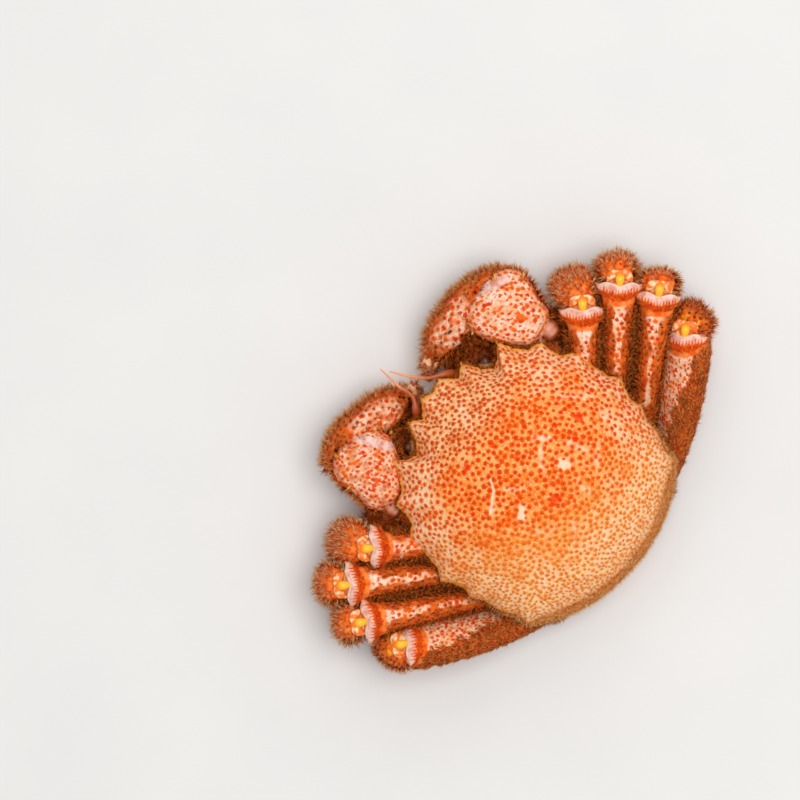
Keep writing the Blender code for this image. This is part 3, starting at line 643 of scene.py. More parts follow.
class Limb:
    """A segment whose rounded cross-sections follow a curved middle line, with domed ends."""

    def __init__(self, path, sections, across=None, lean=(0, 0), squareness=2.4, domes=(1.6, 1.6)):
        self.path = np.asarray(path, float)
        chords = np.linalg.norm(np.diff(self.path, axis=0), axis=1)
        self.knots = np.concatenate([[0.0], np.cumsum(chords)]) / chords.sum()
        self.length = chords.sum()
        self.sections = np.asarray(sections, float)
        self.across = across
        self.lean = lean
        self.squareness = squareness
        self.domes = domes

    def middle(self, share):
        """Points of its middle line at shares of its length."""
        return smooth_values(self.knots, self.path, share)

    def frames(self, share, step=0.004):
        """Unit vectors along, across and up it, at shares of its length."""
        along = unit(self.middle(np.minimum(share + step, 1)) - self.middle(np.maximum(share - step, 0)))
        across = np.cross(along, UP) if self.across is None else np.broadcast_to(self.across, along.shape)
        wide = unit(across - along * (across * along).sum(axis=1, keepdims=True))
        tall = np.cross(wide, along)
        turn = np.radians(self.lean[0] + (self.lean[1] - self.lean[0]) * share)[:, None]
        cosine, sine = np.cos(turn), np.sin(turn)
        return along, wide * cosine + tall * sine, tall * cosine - wide * sine

    def surface(self, pitch):
        """Its skin, with faces about this wide. Share is how far along it each point is."""
        rows = max(int(self.length / pitch), 4)
        columns = max(int(math.pi * self.sections[:, 1:].sum(axis=1).max() / pitch), 12)
        share = np.pad(np.linspace(0, 1, rows), len(DOME_ANGLES), mode="edge")
        start = -self.domes[0] * np.sin(DOME_ANGLES[::-1])
        end = self.domes[1] * np.sin(DOME_ANGLES)
        push = np.concatenate([start, np.zeros(rows), end])
        scale = np.concatenate([np.cos(DOME_ANGLES[::-1]), np.ones(rows), np.cos(DOME_ANGLES)])
        along, wide, tall = self.frames(share)
        half = smooth_values(self.sections[:, 0], self.sections[:, 1:], share) * scale[:, None]
        angle = np.arange(columns) / columns * 2 * math.pi
        x, y = np.cos(angle), np.sin(angle)
        x, y = (np.sign(v) * np.abs(v) ** (2 / self.squareness) for v in (x, y))
        points = (self.middle(share) + along * push[:, None])[:, None]
        points = points + wide[:, None] * (half[:, :1] * x)[..., None]
        points = points + tall[:, None] * (half[:, 1:] * y)[..., None]
        made = Surface(points)
        made.share = np.broadcast_to(share[:, None], points.shape[:2])
        made.along = np.broadcast_to(along[:, None], points.shape)
        return made


# ---------------------------------------------------------------- bristles

FUR = {}  # bunches of bristles by the name of the piece they end up in
LENGTHS = (0.6, 1.2)  # shares of the given length that bristles vary between
WIDTHS = (0.8, 1.2)  # the same for their width
BEND = 0.12  # about how far their tips stray sideways, as a share of their length
CLUMP_SIZE = 3.5  # the distance over which neighbours stray alike
SHADE_SIZE = 2.6  # the distance over which they are alike in shade
TUFT_STRAY = 0.2  # how much whole tufts stray
TUFT_RADIUS = 0.25
ROOT_DEPTH = 0.25  # how deep in the skin they start
TAPER = 0.8  # the power by which they thin towards the tip


def add_bristles(piece, roots, ways, length, width, seed, joints=1, ragged=0.25, clump=0.3):
    """Adds bristles at the roots, which point these ways and have this half width.

    Joints is how many straight stretches each has. Ragged is how much each strays alone, and clump
    how much neighbours stray together.
    """
    rng = np.random.default_rng(seed)
    count = len(roots)
    drift = np.stack([ripple(roots, CLUMP_SIZE, seed + k) for k in (1, 2, 3)], axis=1)
    ways = unit(unit(ways) + drift * clump + rng.normal(0, ragged, (count, 3)))
    length = np.broadcast_to(length, count) * rng.uniform(*LENGTHS, count)
    width = np.broadcast_to(width, count) * rng.uniform(*WIDTHS, count)
    bend = rng.normal(0, BEND, (count, 3))
    shade = 0.45 + 0.35 * ripple(roots, SHADE_SIZE, seed + 4) + rng.normal(0, 0.25, count)
    bunch = (roots, ways, length, width, bend, np.clip(shade, 0, 1))
    FUR.setdefault((piece, joints), []).append(bunch)


def fur(piece, skin, per_mm2, amount, length, width, lean, seed, joints=1, ragged=0.25):
    """Bristles all over a surface, where amount lets them, that lean this way from straight out."""
    places = skin.scatter(per_mm2, amount, seed)
    length = skin.at(places, np.broadcast_to(length, skin.points.shape[:2]))[:, 0]
    ways = skin.at(places, skin.normals()) + skin.at(places, np.broadcast_to(lean, skin.points.shape))
    add_bristles(
        piece, skin.at(places, skin.points), ways, length, width, seed=seed + 1, joints=joints,
        ragged=ragged,
    )


def tufts(piece, skin, places, each, amount, length, width, lean, seed, joints=1, ragged=0.3):
    """A tuft of bristles on each granule, where amount lets them."""
    rng = np.random.default_rng(seed)
    amount = skin.at(places, np.broadcast_to(amount, skin.points.shape[:2]))[:, 0]
    kept = rng.random(len(amount)) < amount
    places = (np.repeat(places[0][kept], each, axis=0), np.repeat(places[1][kept], each, axis=0))
    stray = np.repeat(rng.normal(0, TUFT_STRAY, (kept.sum(), 3)), each, axis=0)
    length = skin.at(places, np.broadcast_to(length, skin.points.shape[:2]))[:, 0]
    ways = skin.at(places, skin.normals()) + skin.at(places, np.broadcast_to(lean, skin.points.shape))
    ways = ways + stray
    roots = skin.at(places, skin.points) + rng.normal(0, TUFT_RADIUS, (len(places[0]), 3))
    add_bristles(piece, roots, ways, length, width, seed=seed + 1, joints=joints, ragged=ragged)


def make_bristles(piece, slot, root, tip):
    """One piece of all the bristles added for it, whose colour goes from the root's to the tip's."""
    finish = bristle_finish(piece, tone(*root), tone(*tip))
    points, faces, tips, shades, start = [], [], [], [], 0
    rng = np.random.default_rng(11)
    for (name, joints), bunches in FUR.items():
        if name != piece:
            continue
        roots, ways, length, width, bend, shade = (np.concatenate(part) for part in zip(*bunches))
        side = unit(np.cross(ways, rng.normal(0, 1, ways.shape)))
        other = np.cross(ways, side)
        rings = []  # three points round each joint, and then the tip
        for k in range(joints):
            t = k / joints
            reach = length * t - ROOT_DEPTH * (k == 0)
            centre = roots + ways * reach[:, None] + bend * (length * t * t)[:, None]
            radius = (width * (1 - t) ** TAPER)[:, None]
            for angle in np.radians((0, 120, 240)):
                rings.append(centre + radius * (side * math.cos(angle) + other * math.sin(angle)))
        rings.append(roots + ways * length[:, None] + bend * length[:, None])
        each = 3 * joints + 1
        pattern = [(2, 1, 0)]
        for a in range(3 * (joints - 1)):
            b = a - 2 if a % 3 == 2 else a + 1
            pattern += [(a, b, b + 3), (a, b + 3, a + 3)]
        pattern += [(each - 4 + c, each - 4 + (c + 1) % 3, each - 1) for c in range(3)]
        index = np.array(pattern)[None] + (np.arange(len(roots)) * each)[:, None, None] + start
        points.append(np.stack(rings, axis=1).reshape(-1, 3))
        faces += index.reshape(-1, 3).tolist()
        tips.append(np.tile(np.append(np.repeat(np.arange(joints) / joints, 3), 1.0), len(roots)))
        shades.append(np.repeat(shade, each))
        start += len(roots) * each
    points = np.concatenate(points)
    points[:, 2] = np.maximum(points[:, 2], LOWEST)
    points[:, 1] = np.maximum(points[:, 1], FOREMOST)
    painted = {"tip": np.concatenate(tips), "shade": np.concatenate(shades)}
    return finished(make_object(piece, points, faces, finish, painted), slot)


# ---------------------------------------------------------------- the shell

SHELL_GRID = 284  # faces along each side of the square grid that is bent into the shell's outline
GRAIN_HEIGHT = 0.42

# Pale worn marks on the back: from, to, half width, strength
SCARS = [
    ((10.5, -11.1), (20.1, -2.6), 0.8, 1.0), ((11.0, 5.2), (13.2, 7.6), 1.6, 1.15),
    ((-13.6, 5.5), (-12.6, 6.3), 2.1, 1.15), ((-12.0, -4.4), (-5.5, 1.5), 1.0, 0.7),
    ((-31.3, -13.5), (-40.6, -3.0), 0.9, 0.75), ((-12.4, -10.0), (-16.6, -5.3), 1.2, 0.8),
    ((10.1, -4.5), (3.4, 2.9), 1.1, 0.6), ((-3.3, -39.5), (0.6, -32.3), 1.4, 0.6),
    ((-11.2, 14.5), (-11.9, 22.5), 1.2, 0.6), ((-20.8, 1.2), (-22.5, 10.4), 1.3, 0.6),
    ((31.0, -11.6), (33.5, -9.0), 1.3, 0.6), ((34.6, 4.0), (39.0, 8.4), 1.1, 0.65),
    ((-37.5, 5.0), (-39.0, 8.5), 1.5, 0.7), ((16.5, 14.0), (9.0, 20.0), 1.1, 0.5),
    ((-28.0, 12.0), (-20.0, 15.0), 1.2, 0.5), ((2.0, 24.0), (8.0, 29.0), 1.2, 0.5),
]
# Redder patches of the back: place and radius
RED_PATCHES = [
    ((-0.6, 12.8), 3.0), ((0.1, -19.8), 1.8), ((-30.3, -1.4), 2.4), ((13.3, -21.4), 1.8),
    ((-24.0, 3.0), 1.5),
]
WARM_HALF_WIDTH = 48.0  # of the orange middle of the back
WARM_HALF_LENGTH = 36.0


def plain_reach(angle):
    """Distance from the middle of the shell to the plain oval under its toothed edge."""
    x, y = np.cos(angle), np.sin(angle)
    long = np.where(y < 0, OVAL_FRONT, OVAL_REAR) * SHELL_LENGTH / 2
    wide = SHELL_WIDTH / 2 * OVAL_WIDTH
    return ((np.abs(x) / wide) ** OVAL_POWER + (np.abs(y) / long) ** OVAL_POWER) ** (-1 / OVAL_POWER)


def edge_reach(angle):
    """Distance from the middle of the shell to its toothed edge."""
    whole = np.concatenate([LEFT_EDGE, LEFT_EDGE[-2:0:-1] * (-1, 1)])
    angles, distances = np.arctan2(whole[:, 1], whole[:, 0]), np.hypot(*whole.T)
    order = np.argsort(angles)
    return np.interp(angle, angles[order], distances[order], period=2 * math.pi)


def rim_height(y):
    """Height of the shell's edge, which rises towards the head."""
    return RIM_HEIGHT - RIM_FALL * y


def back_height(x, y, reach):
    """Height of the back, where reach is the share of the way from the middle to the edge."""
    rearward = smooth(y / SHELL_LENGTH + 0.5)
    steepness = STEEPNESS[0] * (1 - rearward) + STEEPNESS[1] * rearward
    fullness = FULLNESS[0] * (1 - rearward) + FULLNESS[1] * rearward
    height = rim_height(y) + DOME_HEIGHT * np.maximum(1 - reach**steepness, 0) ** fullness
    for middle_x, middle_y, radius, rise in SWELLINGS:
        distance = np.hypot(x - middle_x, y - middle_y)
        height = height + rise * np.exp(-((distance / radius) ** 2)) * (1 - reach**4)
    return height


def edge_point(angle):
    """The point of the shell's edge in this direction from the middle."""
    out = edge_reach(angle)
    x, y = np.cos(angle) * out, np.sin(angle) * out
    return np.stack([x, y, rim_height(y)], axis=-1)


def outward(angles, rise):
    """Directions out from the middle of the shell that rise this much."""
    return np.stack([np.cos(angles), np.sin(angles), np.full(len(angles), rise)], axis=1)


def both_sides(start, end, count):
    """Angles in degrees round the shell's left side from the front, and the same on its right."""
    right = np.linspace(180 - end, 180 - start, count)
    return np.concatenate([np.linspace(start, end, count), right])


def segment_distance(x, y, start, end):
    """Distance on the plan from a stretch between two points."""
    start, end = np.array(start), np.array(end)
    way = end - start
    share = np.clip(((x - start[0]) * way[0] + (y - start[1]) * way[1]) / (way @ way), 0, 1)
    return np.hypot(x - start[0] - way[0] * share, y - start[1] - way[1] * share)


def back_surface():
    """The back as a square grid bent into the toothed outline, all its faces about the same size."""
    side = np.linspace(-1, 1, SHELL_GRID + 1)
    a, b = np.meshgrid(side, side, indexing="ij")
    wide = np.abs(a) > np.abs(b)
    safe_a, safe_b = np.where(a == 0, TINY, a), np.where(b == 0, TINY, b)
    reach = np.where(wide, np.abs(a), np.abs(b))
    angle = np.where(wide, math.pi / 4 * b / safe_a, math.pi / 2 - math.pi / 4 * a / safe_b)
    angle = np.where(np.where(wide, a, b) < 0, angle + math.pi, angle)
    teeth = smooth(reach, TEETH_START, 1)
    out = (plain_reach(angle) * (1 - teeth) + edge_reach(angle) * teeth) * reach
    x, y = np.cos(angle) * out, np.sin(angle) * out
    made = Surface(np.stack([x, y, back_height(x, y, reach)], axis=-1), closed=False)
    made.reach, made.angle = reach, angle
    return made


def side_wall(angle, top):
    """The wall under the shell's edge: rings from the edge down, with a column for each angle."""
    rings = [top]
    depths = np.linspace(0, 1, 9)[1:]
    profile = smooth_values([ring[0] for ring in SKIRT_RINGS], [ring[1:] for ring in SKIRT_RINGS], depths)
    for depth, (front, rear) in zip(depths, profile):
        distance = edge_reach(angle)
        rearward = smooth(np.sin(angle) * distance / SHELL_LENGTH * 3.2 - 0.4)
        out = distance * (1 - depth) + plain_reach(angle) * depth
        out = out * (front + (rear - front) * rearward)
        x, y = np.cos(angle) * out, np.sin(angle) * out
        rings.append(np.stack([x, y, rim_height(y) - SKIRT_DEPTH * depth], axis=-1))
    return Surface(np.stack(rings))


def make_shell(finish):
    """The back with its granules and worn marks, the side wall under its edge, and their fur."""
    back = back_surface()
    x, y = back.points[..., 0], back.points[..., 1]

    # How much each point belongs to the warm middle, the rear and the snout, whose borders wander
    drift = ripple(back.points, 14, 1), ripple(back.points, 14, 2)
    warm_x = (x + 1 + drift[0] * 4) / WARM_HALF_WIDTH
    warm_y = (y + 1 + drift[1] * 4) / WARM_HALF_LENGTH
    # The rear's paler colours reach further forward on the crab's left side: painted light there.
    painted_light_leftward = np.maximum(x, 0) * 0.65
    rear = smooth(y - np.abs(x) * 0.1 + painted_light_leftward + drift[0] * 4, 4, 40)
    snout = smooth(-y - np.abs(x) * 0.35 + drift[1] * 3, 13, 36) * smooth(58 + y, 0, 16)
    bent_x = x + ripple(back.points, 5, 3) * 0.7
    bent_y = y + ripple(back.points, 5, 4) * 0.7
    scar = np.zeros(x.shape)
    for start, end, half, strength in SCARS:
        far = segment_distance(bent_x, bent_y, start, end) / half
        scar = np.maximum(scar, smooth(2.0 - far, 0, 1.8) * strength)
    red = np.zeros(x.shape)
    for (px, py), radius in RED_PATCHES:
        red = np.maximum(red, smooth(1.4 - np.hypot(bent_x - px, bent_y - py) / radius))
    rim = smooth(back.reach, 0.962, 0.988) * (0.15 + 0.65 * smooth(-y, -40, -5))
    back.paint(warmth=smooth(1.35 - np.hypot(warm_x, warm_y)), rear=rear, snout=snout)
    back.paint(scar=scar, red=red, rim=rim, under=0.0)

    # The granules are finer at the snout and towards the rear edge, and sparse on the scars
    outer = smooth(back.reach, 0.35, 0.95)
    spacing = 2.1 - 0.28 * snout - 0.5 * rear * outer
    amount = 1 - 0.8 * smooth(scar, 0.6, 1.0)
    spots = back.granules(spacing, amount, seed=3, height=GRAIN_HEIGHT, reach=0.62, vary=0.25)

    # The grid's outer points in order round the edge, then the side wall down from them
    n = SHELL_GRID
    ring = [(k, 0) for k in range(n)] + [(n, k) for k in range(n)]
    ring += [(n - k, n) for k in range(n)] + [(0, n - k) for k in range(n)]
    rows, columns = np.array(ring).T
    wall = side_wall(back.angle[rows, columns], back.points[rows, columns])
    count, low = len(ring), (n + 1) ** 2
    middle_point = [(0, 0, RIM_HEIGHT - SKIRT_DEPTH)]
    points = np.concatenate([back.points.reshape(-1, 3), wall.points[1:].reshape(-1, 3), middle_point])
    faces = grid_faces(n + 1, n + 1, closed=False)[:, ::-1].tolist()
    ids = [rows * (n + 1) + columns]
    ids += [low + np.arange(count) + k * count for k in range(len(wall.points) - 1)]
    after = np.roll(np.arange(count), -1)
    for upper, lower in zip(ids, ids[1:]):
        faces += np.stack([upper, lower, lower[after], upper[after]], axis=1).tolist()
    faces += np.stack([ids[-1], np.full(count, len(points) - 1), ids[-1][after]], axis=1).tolist()
    painted = {}
    for key, field in back.fields.items():
        painted[key] = np.full(len(points), 1.0 if key == "under" else 0.0)
        painted[key][:low] = field.ravel()
    finished(make_object("back_shell", points, faces, finish, painted), "shell", "carapace")

    # A short dark tuft on each granule, and fur on the side wall and under the edge
    tufts(
        "back_bristles", back, spots, each=2, amount=0.9, length=0.55, width=0.11,
        lean=(0, 0.4, 0), seed=5,
    )
    round_angle = np.arctan2(wall.points[..., 1], wall.points[..., 0])
    rearward = smooth(np.sin(round_angle), 0.1, 0.7)
    fur(
        "gold_fringe", wall, per_mm2=3.4, amount=rearward, length=2.0, width=0.17,
        lean=(0, 0, 0.25), seed=21, joints=2, ragged=0.3,
    )
    fur(
        "brown_fringe", wall, per_mm2=2.0, amount=1 - rearward, length=2.6, width=0.18,
        lean=(0, 0, 0), seed=23, joints=2, ragged=0.3,
    )
    angles = np.radians(both_sides(-88, 48, count=560))
    roots = edge_point(angles) * (0.985, 0.985, 1) + (0, 0, -1.0)
    add_bristles(
        "brown_fringe", roots, outward(angles, -0.25), length=3.6, width=0.17, seed=25, joints=2,
        ragged=0.4, clump=0.7,
    )


def make_rim_spines():
    """Small spines along the front and side edges, and a stout one on each tooth."""
    teeth = LEFT_EDGE[list(BIG_TEETH)]
    teeth = np.concatenate([teeth, teeth * (-1, 1)])
    add_spines(np.arctan2(teeth[:, 1], teeth[:, 0]), length=1.5, width=0.7, seed=31)
    around = both_sides(-89, 62, count=100)
    around = around + np.random.default_rng(32).normal(0, 0.4, len(around))
    add_spines(np.radians(around), length=1.0, width=0.42, seed=33)
    make_bristles("rim_spines", "shell", (238, 132, 36), (253, 196, 104))


def add_spines(angles, length, width, seed):
    """Spines on the shell's edge, in these directions from its middle."""
    out = outward(angles, 0.25)
    add_bristles(
        "rim_spines", edge_point(angles) - out * 0.5, out, length, width, seed, joints=2,
        ragged=0.12,
    )


# ---------------------------------------------------------------- legs

KNEE_HALF_WIDTH = 8.2
LIP_DEPTH = 6.8  # from the knob back to the lip's edge
RED_DEPTH = 9.0  # to the end of the red band
BAND_DEPTH = 11.0  # to the end of the orange band
LIP_SAG = 4.2  # how much nearer the knob these are at the sides of the knee
PATCH_DEPTH = 15.0  # to the end of the white patch


def sided(points, side):
    """The points of the crab's left limb, for either side."""
    return np.array(points, float) * (SIDES[side], 1, 1)


def flat_direction(start, end):
    """Direction on the plan from one point to the other."""
    way = np.array([end[0] - start[0], end[1] - start[1], 0.0])
    return way / np.linalg.norm(way)


def path_across(path):
    """Direction on the plan across a path."""
    return np.cross(flat_direction(path[0], path[-1]), UP)


def leg_limbs(side, number):
    """Hip, thigh, shin, foot and toe of one walking leg, built as the solids are."""
    leg = LEGS[(side, number)]
    hip = np.array([*leg["hip"], HIP_HEIGHT])
    knee = np.array(leg["knee"])
    out = flat_direction(hip, knee)
    shift = np.cross(UP, out) * SHIFT[number]
    thigh_end = knee - out * KNEE_SETBACK
    before_knee = thigh_end * 0.85 + hip * 0.15
    before_knee[2] = thigh_end[2] - 0.3
    middle = (hip + thigh_end) / 2 + UP * THIGH_ARCH
    thigh = [hip + shift * 0.4, middle + shift, before_knee + shift, thigh_end + shift * 0.9]
    rising = unit(thigh[1] - thigh[0])
    root = hip + flat_direction(hip, (0, hip[1] * 0.7)) * HIP_LENGTH - UP * ROOT_DROP
    shin_end = np.array([*leg["shin"], SHIN_END_HEIGHT])
    down = flat_direction(knee, shin_end)
    reach = np.linalg.norm((shin_end - knee)[:2])
    bulge = SHIN_BULGE[0] - SHORT_SHINS.get((side, number), 0.0)
    shin = [
        knee + down * SHIN_TOP[0] + UP * SHIN_TOP[1],
        knee + down * (reach / 2 + bulge) - UP * SHIN_BULGE[1],
        shin_end,
    ]
    heel = np.array([*leg["shin"], SOLE_HEIGHT]) + down * HEEL
    tip = np.array([*leg["tip"], TIP_HEIGHT])
    toe = (heel + tip) / 2
    toe[2] = TOE_HEIGHT
    lean = LEAN[number] * SIDES[side]
    scale = SHIN_SCALE[number]
    shin = sided(shin, side)
    foot = sided([heel, (heel + toe) / 2 + UP * 0.6, toe], side)
    claw = sided([toe, (toe + tip) / 2 + UP * 0.9, tip], side)
    hip_path = sided([root, thigh[0] - rising * HIP_BEND, thigh[0]], side)
    return {
        "hip": Limb(hip_path, HIP, lean=(lean * 0.4, lean * 0.4)),
        "thigh": Limb(sided(thigh, side), FOURTH_THIGH if number == 4 else THIGH, lean=(lean * 0.4, lean)),
        "shin": Limb(shin, np.array(SHIN) * (1, scale, scale), path_across(shin), domes=(1.2, 1.5)),
        "foot": Limb(foot, FOOT),
        "toe": Limb(claw, TOE, domes=(0.8, 0.5)),
    }


def knee_frame(side, number):
    """The knob of a knee, and directions on the plan: out along the leg, and across it headward."""
    knee = sided(LEGS[(side, number)]["knee"], side)
    out = flat_direction(sided((*LEGS[(side, number)]["hip"], 0), side), knee)
    across = np.cross(out, UP)
    return knee, out, across if across[1] < 0 else -across


def top_at(skin, place):
    """Height of a surface above a place on the plan, or near it."""
    points = skin.points.reshape(-1, 3)
    far = np.hypot(points[:, 0] - place[0], points[:, 1] - place[1])
    return points[far < max(0.8, far.min() + 0.5), 2].max()


def make_leg(side, number, finishes):
    """One walking leg, from its hip to its toe."""
    limbs = leg_limbs(side, number)
    seed = 100 * number + (0 if side == "left" else 50)
    node = f"leg_{side}_{number}"
    thigh = make_thigh(side, number, limbs["thigh"], finishes, seed)
    shin = make_shin(side, number, limbs["shin"], finishes, seed + 10)
    make_knee(side, number, thigh, shin, finishes)
    for part, solid, pale in (("foot", "propodus", 0.1), ("toe", "dactylus", 0.4)):
        skin = limbs[part].surface(pitch=0.9)
        skin.paint(fur=1 - smooth(skin.normals()[..., 2], 0.2, 0.9) * pale)
        skin.paint(gold=smooth(skin.share, 0.6, 1.0) * (part == "toe"))
        spots = skin.granules(spacing=1.9, amount=0.9, seed=seed + 20, height=0.3)
        skin.solid(f"{part}_{side}_{number}", finishes["limb"], "hairy_shell", f"{node}_{solid}")
        amount = smooth(1 - skin.share, 0.0, 0.4) if part == "toe" else 1.0
        tufts(
            "foot_bristles", skin, spots, each=4, amount=amount, length=2.0, width=0.15,
            lean=skin.along * 0.7, seed=seed + 21,
        )
    skin = limbs["hip"].surface(pitch=0.9)
    skin.paint(fur=1.0)
    skin.granules(spacing=1.9, amount=0.8, seed=seed + 25, height=0.3)
    skin.solid(f"hip_{side}_{number}", finishes["limb"], "hairy_shell")
    fur(
        "foot_bristles", skin, per_mm2=2.4, amount=smooth(skin.share, 0.05, 0.3), length=2.4,
        width=0.16, lean=skin.along * 0.6, seed=seed + 26,
    )


def make_thigh(side, number, limb, finishes, seed):
    """A thigh: a pale ridge along its top, furry flanks, and the coloured bands behind the knee."""
    knee, out, headward = knee_frame(side, number)
    skin = limb.surface(pitch=0.5)
    normals = skin.normals()
    up = normals[..., 2]
    to_knee = (knee - skin.points) @ out
    sideways = (skin.points - skin.points.mean(axis=1, keepdims=True)) @ headward
    sideways = sideways / np.abs(sideways).max(axis=1, keepdims=True)
    from_knob = np.abs((skin.points - knee) @ headward) / KNEE_HALF_WIDTH
    stray = ripple(skin.points, 5, seed) * 0.35

    # How far each point lies inside the end of the lip, of the red band and of the orange band
    sag = LIP_SAG * from_knob**2
    lip = LIP_DEPTH - sag - to_knee
    red_end = RED_DEPTH - sag - to_knee + stray * 0.5
    band = BAND_DEPTH - sag - to_knee + stray
    collar = smooth(up, -0.35, 0.1) * smooth(1.2 - from_knob, 0, 0.2)

    # The pale ridge runs along the top of a thigh, but on the headward side of the fourth
    if number == 4:
        ridge = smooth(sideways + 0.42 - 0.75 * smooth(to_knee, 14, 48) + stray * 0.3, 0, 0.3)
        red_line = bump_at(sideways, 0.95, 0.1) * smooth(up, -0.9, -0.2) * smooth(to_knee, 8, 11) * 0.8
    else:
        ridge = smooth(0.62 - 0.2 * smooth(to_knee, 14, 30) - np.abs(sideways) + stray * 0.4, 0, 0.4)
        red_line = 0.0
    ridge = ridge * (smooth(up, -0.4, 0.1) if number == 4 else smooth(up, 0.0, 0.4))
    beyond = smooth(-band, 0.0, 0.6)
    patch = beyond * smooth(PATCH_DEPTH - to_knee + stray * 4, 0, 5)
    patch = patch * smooth(0.6 - from_knob + stray * 0.5, 0, 0.4)
    fading = smooth(to_knee, 16, 40)
    cream = ridge * (0.4 - 0.2 * fading if number == 4 else 0.75 - 0.45 * fading)
    red_band = smooth(red_end, -0.4, 0.4) * smooth(-lip, -0.1, 0.3) * collar
    skin.paint(
        cream=cream * (1 - 0.35 * smooth(stray, 0, 0.3)),
        pale=ridge * (1.0 if number == 4 else 0.8),
        fur=1 - ridge,
        # dark brown where the flanks face down, partly the hair's colour and partly painted shade; on the
        # first three thighs also towards the shell, as painted shadow of the shell
        brown_and_shade=(1 - ridge) * smooth(0.45 - up, 0, 0.5) + 0.35 * fading * (number < 4),
        white=patch * collar * (0.35 if number == 4 else 0.6),
        pink=smooth(lip, -0.2, 0.3) * collar * 0.6,
        orange=smooth(band, -1.0, 0.8) * collar,
        red=np.maximum(red_band, red_line),
    )
    relief = 0.8 * bump_at(red_end, 1.2, 2.2) + 0.5 * bump_at(lip, 2.2, 2.4) - 0.5 * bump_at(lip, 0.0, 0.7)
    skin.points = skin.points + normals * (relief * collar)[..., None]
    amount = smooth(-band, 0.3, 1.2) * (1 - 0.85 * patch) * (0.45 + 0.55 * smooth(up, -0.4, 0.2))
    spacing = 1.6 if number == 4 else 1.95 - 0.4 * (1 - ridge)
    spots = skin.granules(
        spacing, amount * (0.85 if number == 4 else 1.0), seed, height=0.4, reach=0.6, vary=0.4,
    )
    skin.solid(f"thigh_{side}_{number}", finishes["limb"], "shell", f"leg_{side}_{number}_merus")

    # Tufts on the upper side, longer fur on the flanks, and a fringe on the knee's red band
    share = ridge * (0.35 if number == 4 else 0.8)
    tufts(
        "ridge_bristles", skin, spots, each=3, amount=share, length=1.3, width=0.13,
        lean=skin.along * 1.2, seed=seed + 1,
    )
    bare = np.maximum(smooth(-band, 0.5, 2.0), smooth(0.15 - up, 0, 0.3))
    flank = (1 - ridge) * smooth(up, -0.9, -0.3) * bare
    if number == 4:
        swept = skin.along * 1.5 + headward * 0.5 + UP * 0.1
        fur(
            "felt_bristles", skin, per_mm2=3.0, amount=flank, length=2.2, width=0.2, lean=swept,
            seed=seed + 2, joints=2, ragged=0.2,
        )
    else:
        flank = flank * smooth(0.6 - up, 0, 0.3)
        fur(
            "thigh_bristles", skin, per_mm2=0.5, amount=flank, length=3.8, width=0.22,
            lean=skin.along * 0.9 + UP * 0.5, seed=seed + 2, joints=2, ragged=0.22,
        )
        tufts(
            "ridge_bristles", skin, spots, each=5, amount=(1 - ridge) * bare, length=2.3,
            width=0.17, lean=skin.along * 1.8, seed=seed + 3,
        )
    fringe = bump_at(red_end, 0.9, 1.6) * collar
    fan = headward * (0.12 * ((skin.points - knee) @ headward))[..., None]
    fur(
        "knee_bristles", skin, per_mm2=3.6, amount=fringe, length=3.4, width=0.15,
        lean=out * 1.4 + fan + UP * 0.35, seed=seed + 5, joints=1, ragged=0.12,
    )
    return skin


# The lip that ends in two horns: how far sideways, depth behind the knob, half width and half height
LIP = (
    (-9.1, 1.9, 0.2, 0.3), (-7.5, 3.0, 1.4, 1.2), (-5.0, 3.6, 2.5, 1.7), (-2.5, 4.6, 2.6, 1.9),
    (0.0, 5.1, 2.3, 2.0),
    (2.5, 4.6, 2.6, 1.9), (5.0, 3.6, 2.5, 1.7), (7.5, 3.0, 1.4, 1.2), (9.1, 1.9, 0.2, 0.3),
)
# Middle lines of the knob, of a lobe and of the skin: headward, outward, and up from the knee
KNOB_PATH = ((0, -2.8, -0.6), (0, -0.4, 0.5), (0, 3.2, -0.2))
LOBE_PATH = ((0.8, 3.0, 0.0), (2.8, 2.0, -0.2), (4.8, -0.6, -1.4))
KNEE_SKIN_PATH = ((0, -4.0, 1.0), (0, 0.5, 2.6), (0, 4.5, 1.0))
KNOB = ((0.0, 0.9, 0.8), (0.25, 1.5, 1.2), (0.55, 1.8, 1.4), (0.85, 1.5, 1.2), (1.0, 0.8, 0.7))
LOBE = ((0.0, 0.8, 0.6), (0.35, 1.7, 1.1), (0.7, 1.5, 1.0), (1.0, 0.6, 0.5))
KNEE_SKIN = ((0, 3.8, 3.2), (0.5, 4.8, 4.0), (1, 3.6, 2.8))


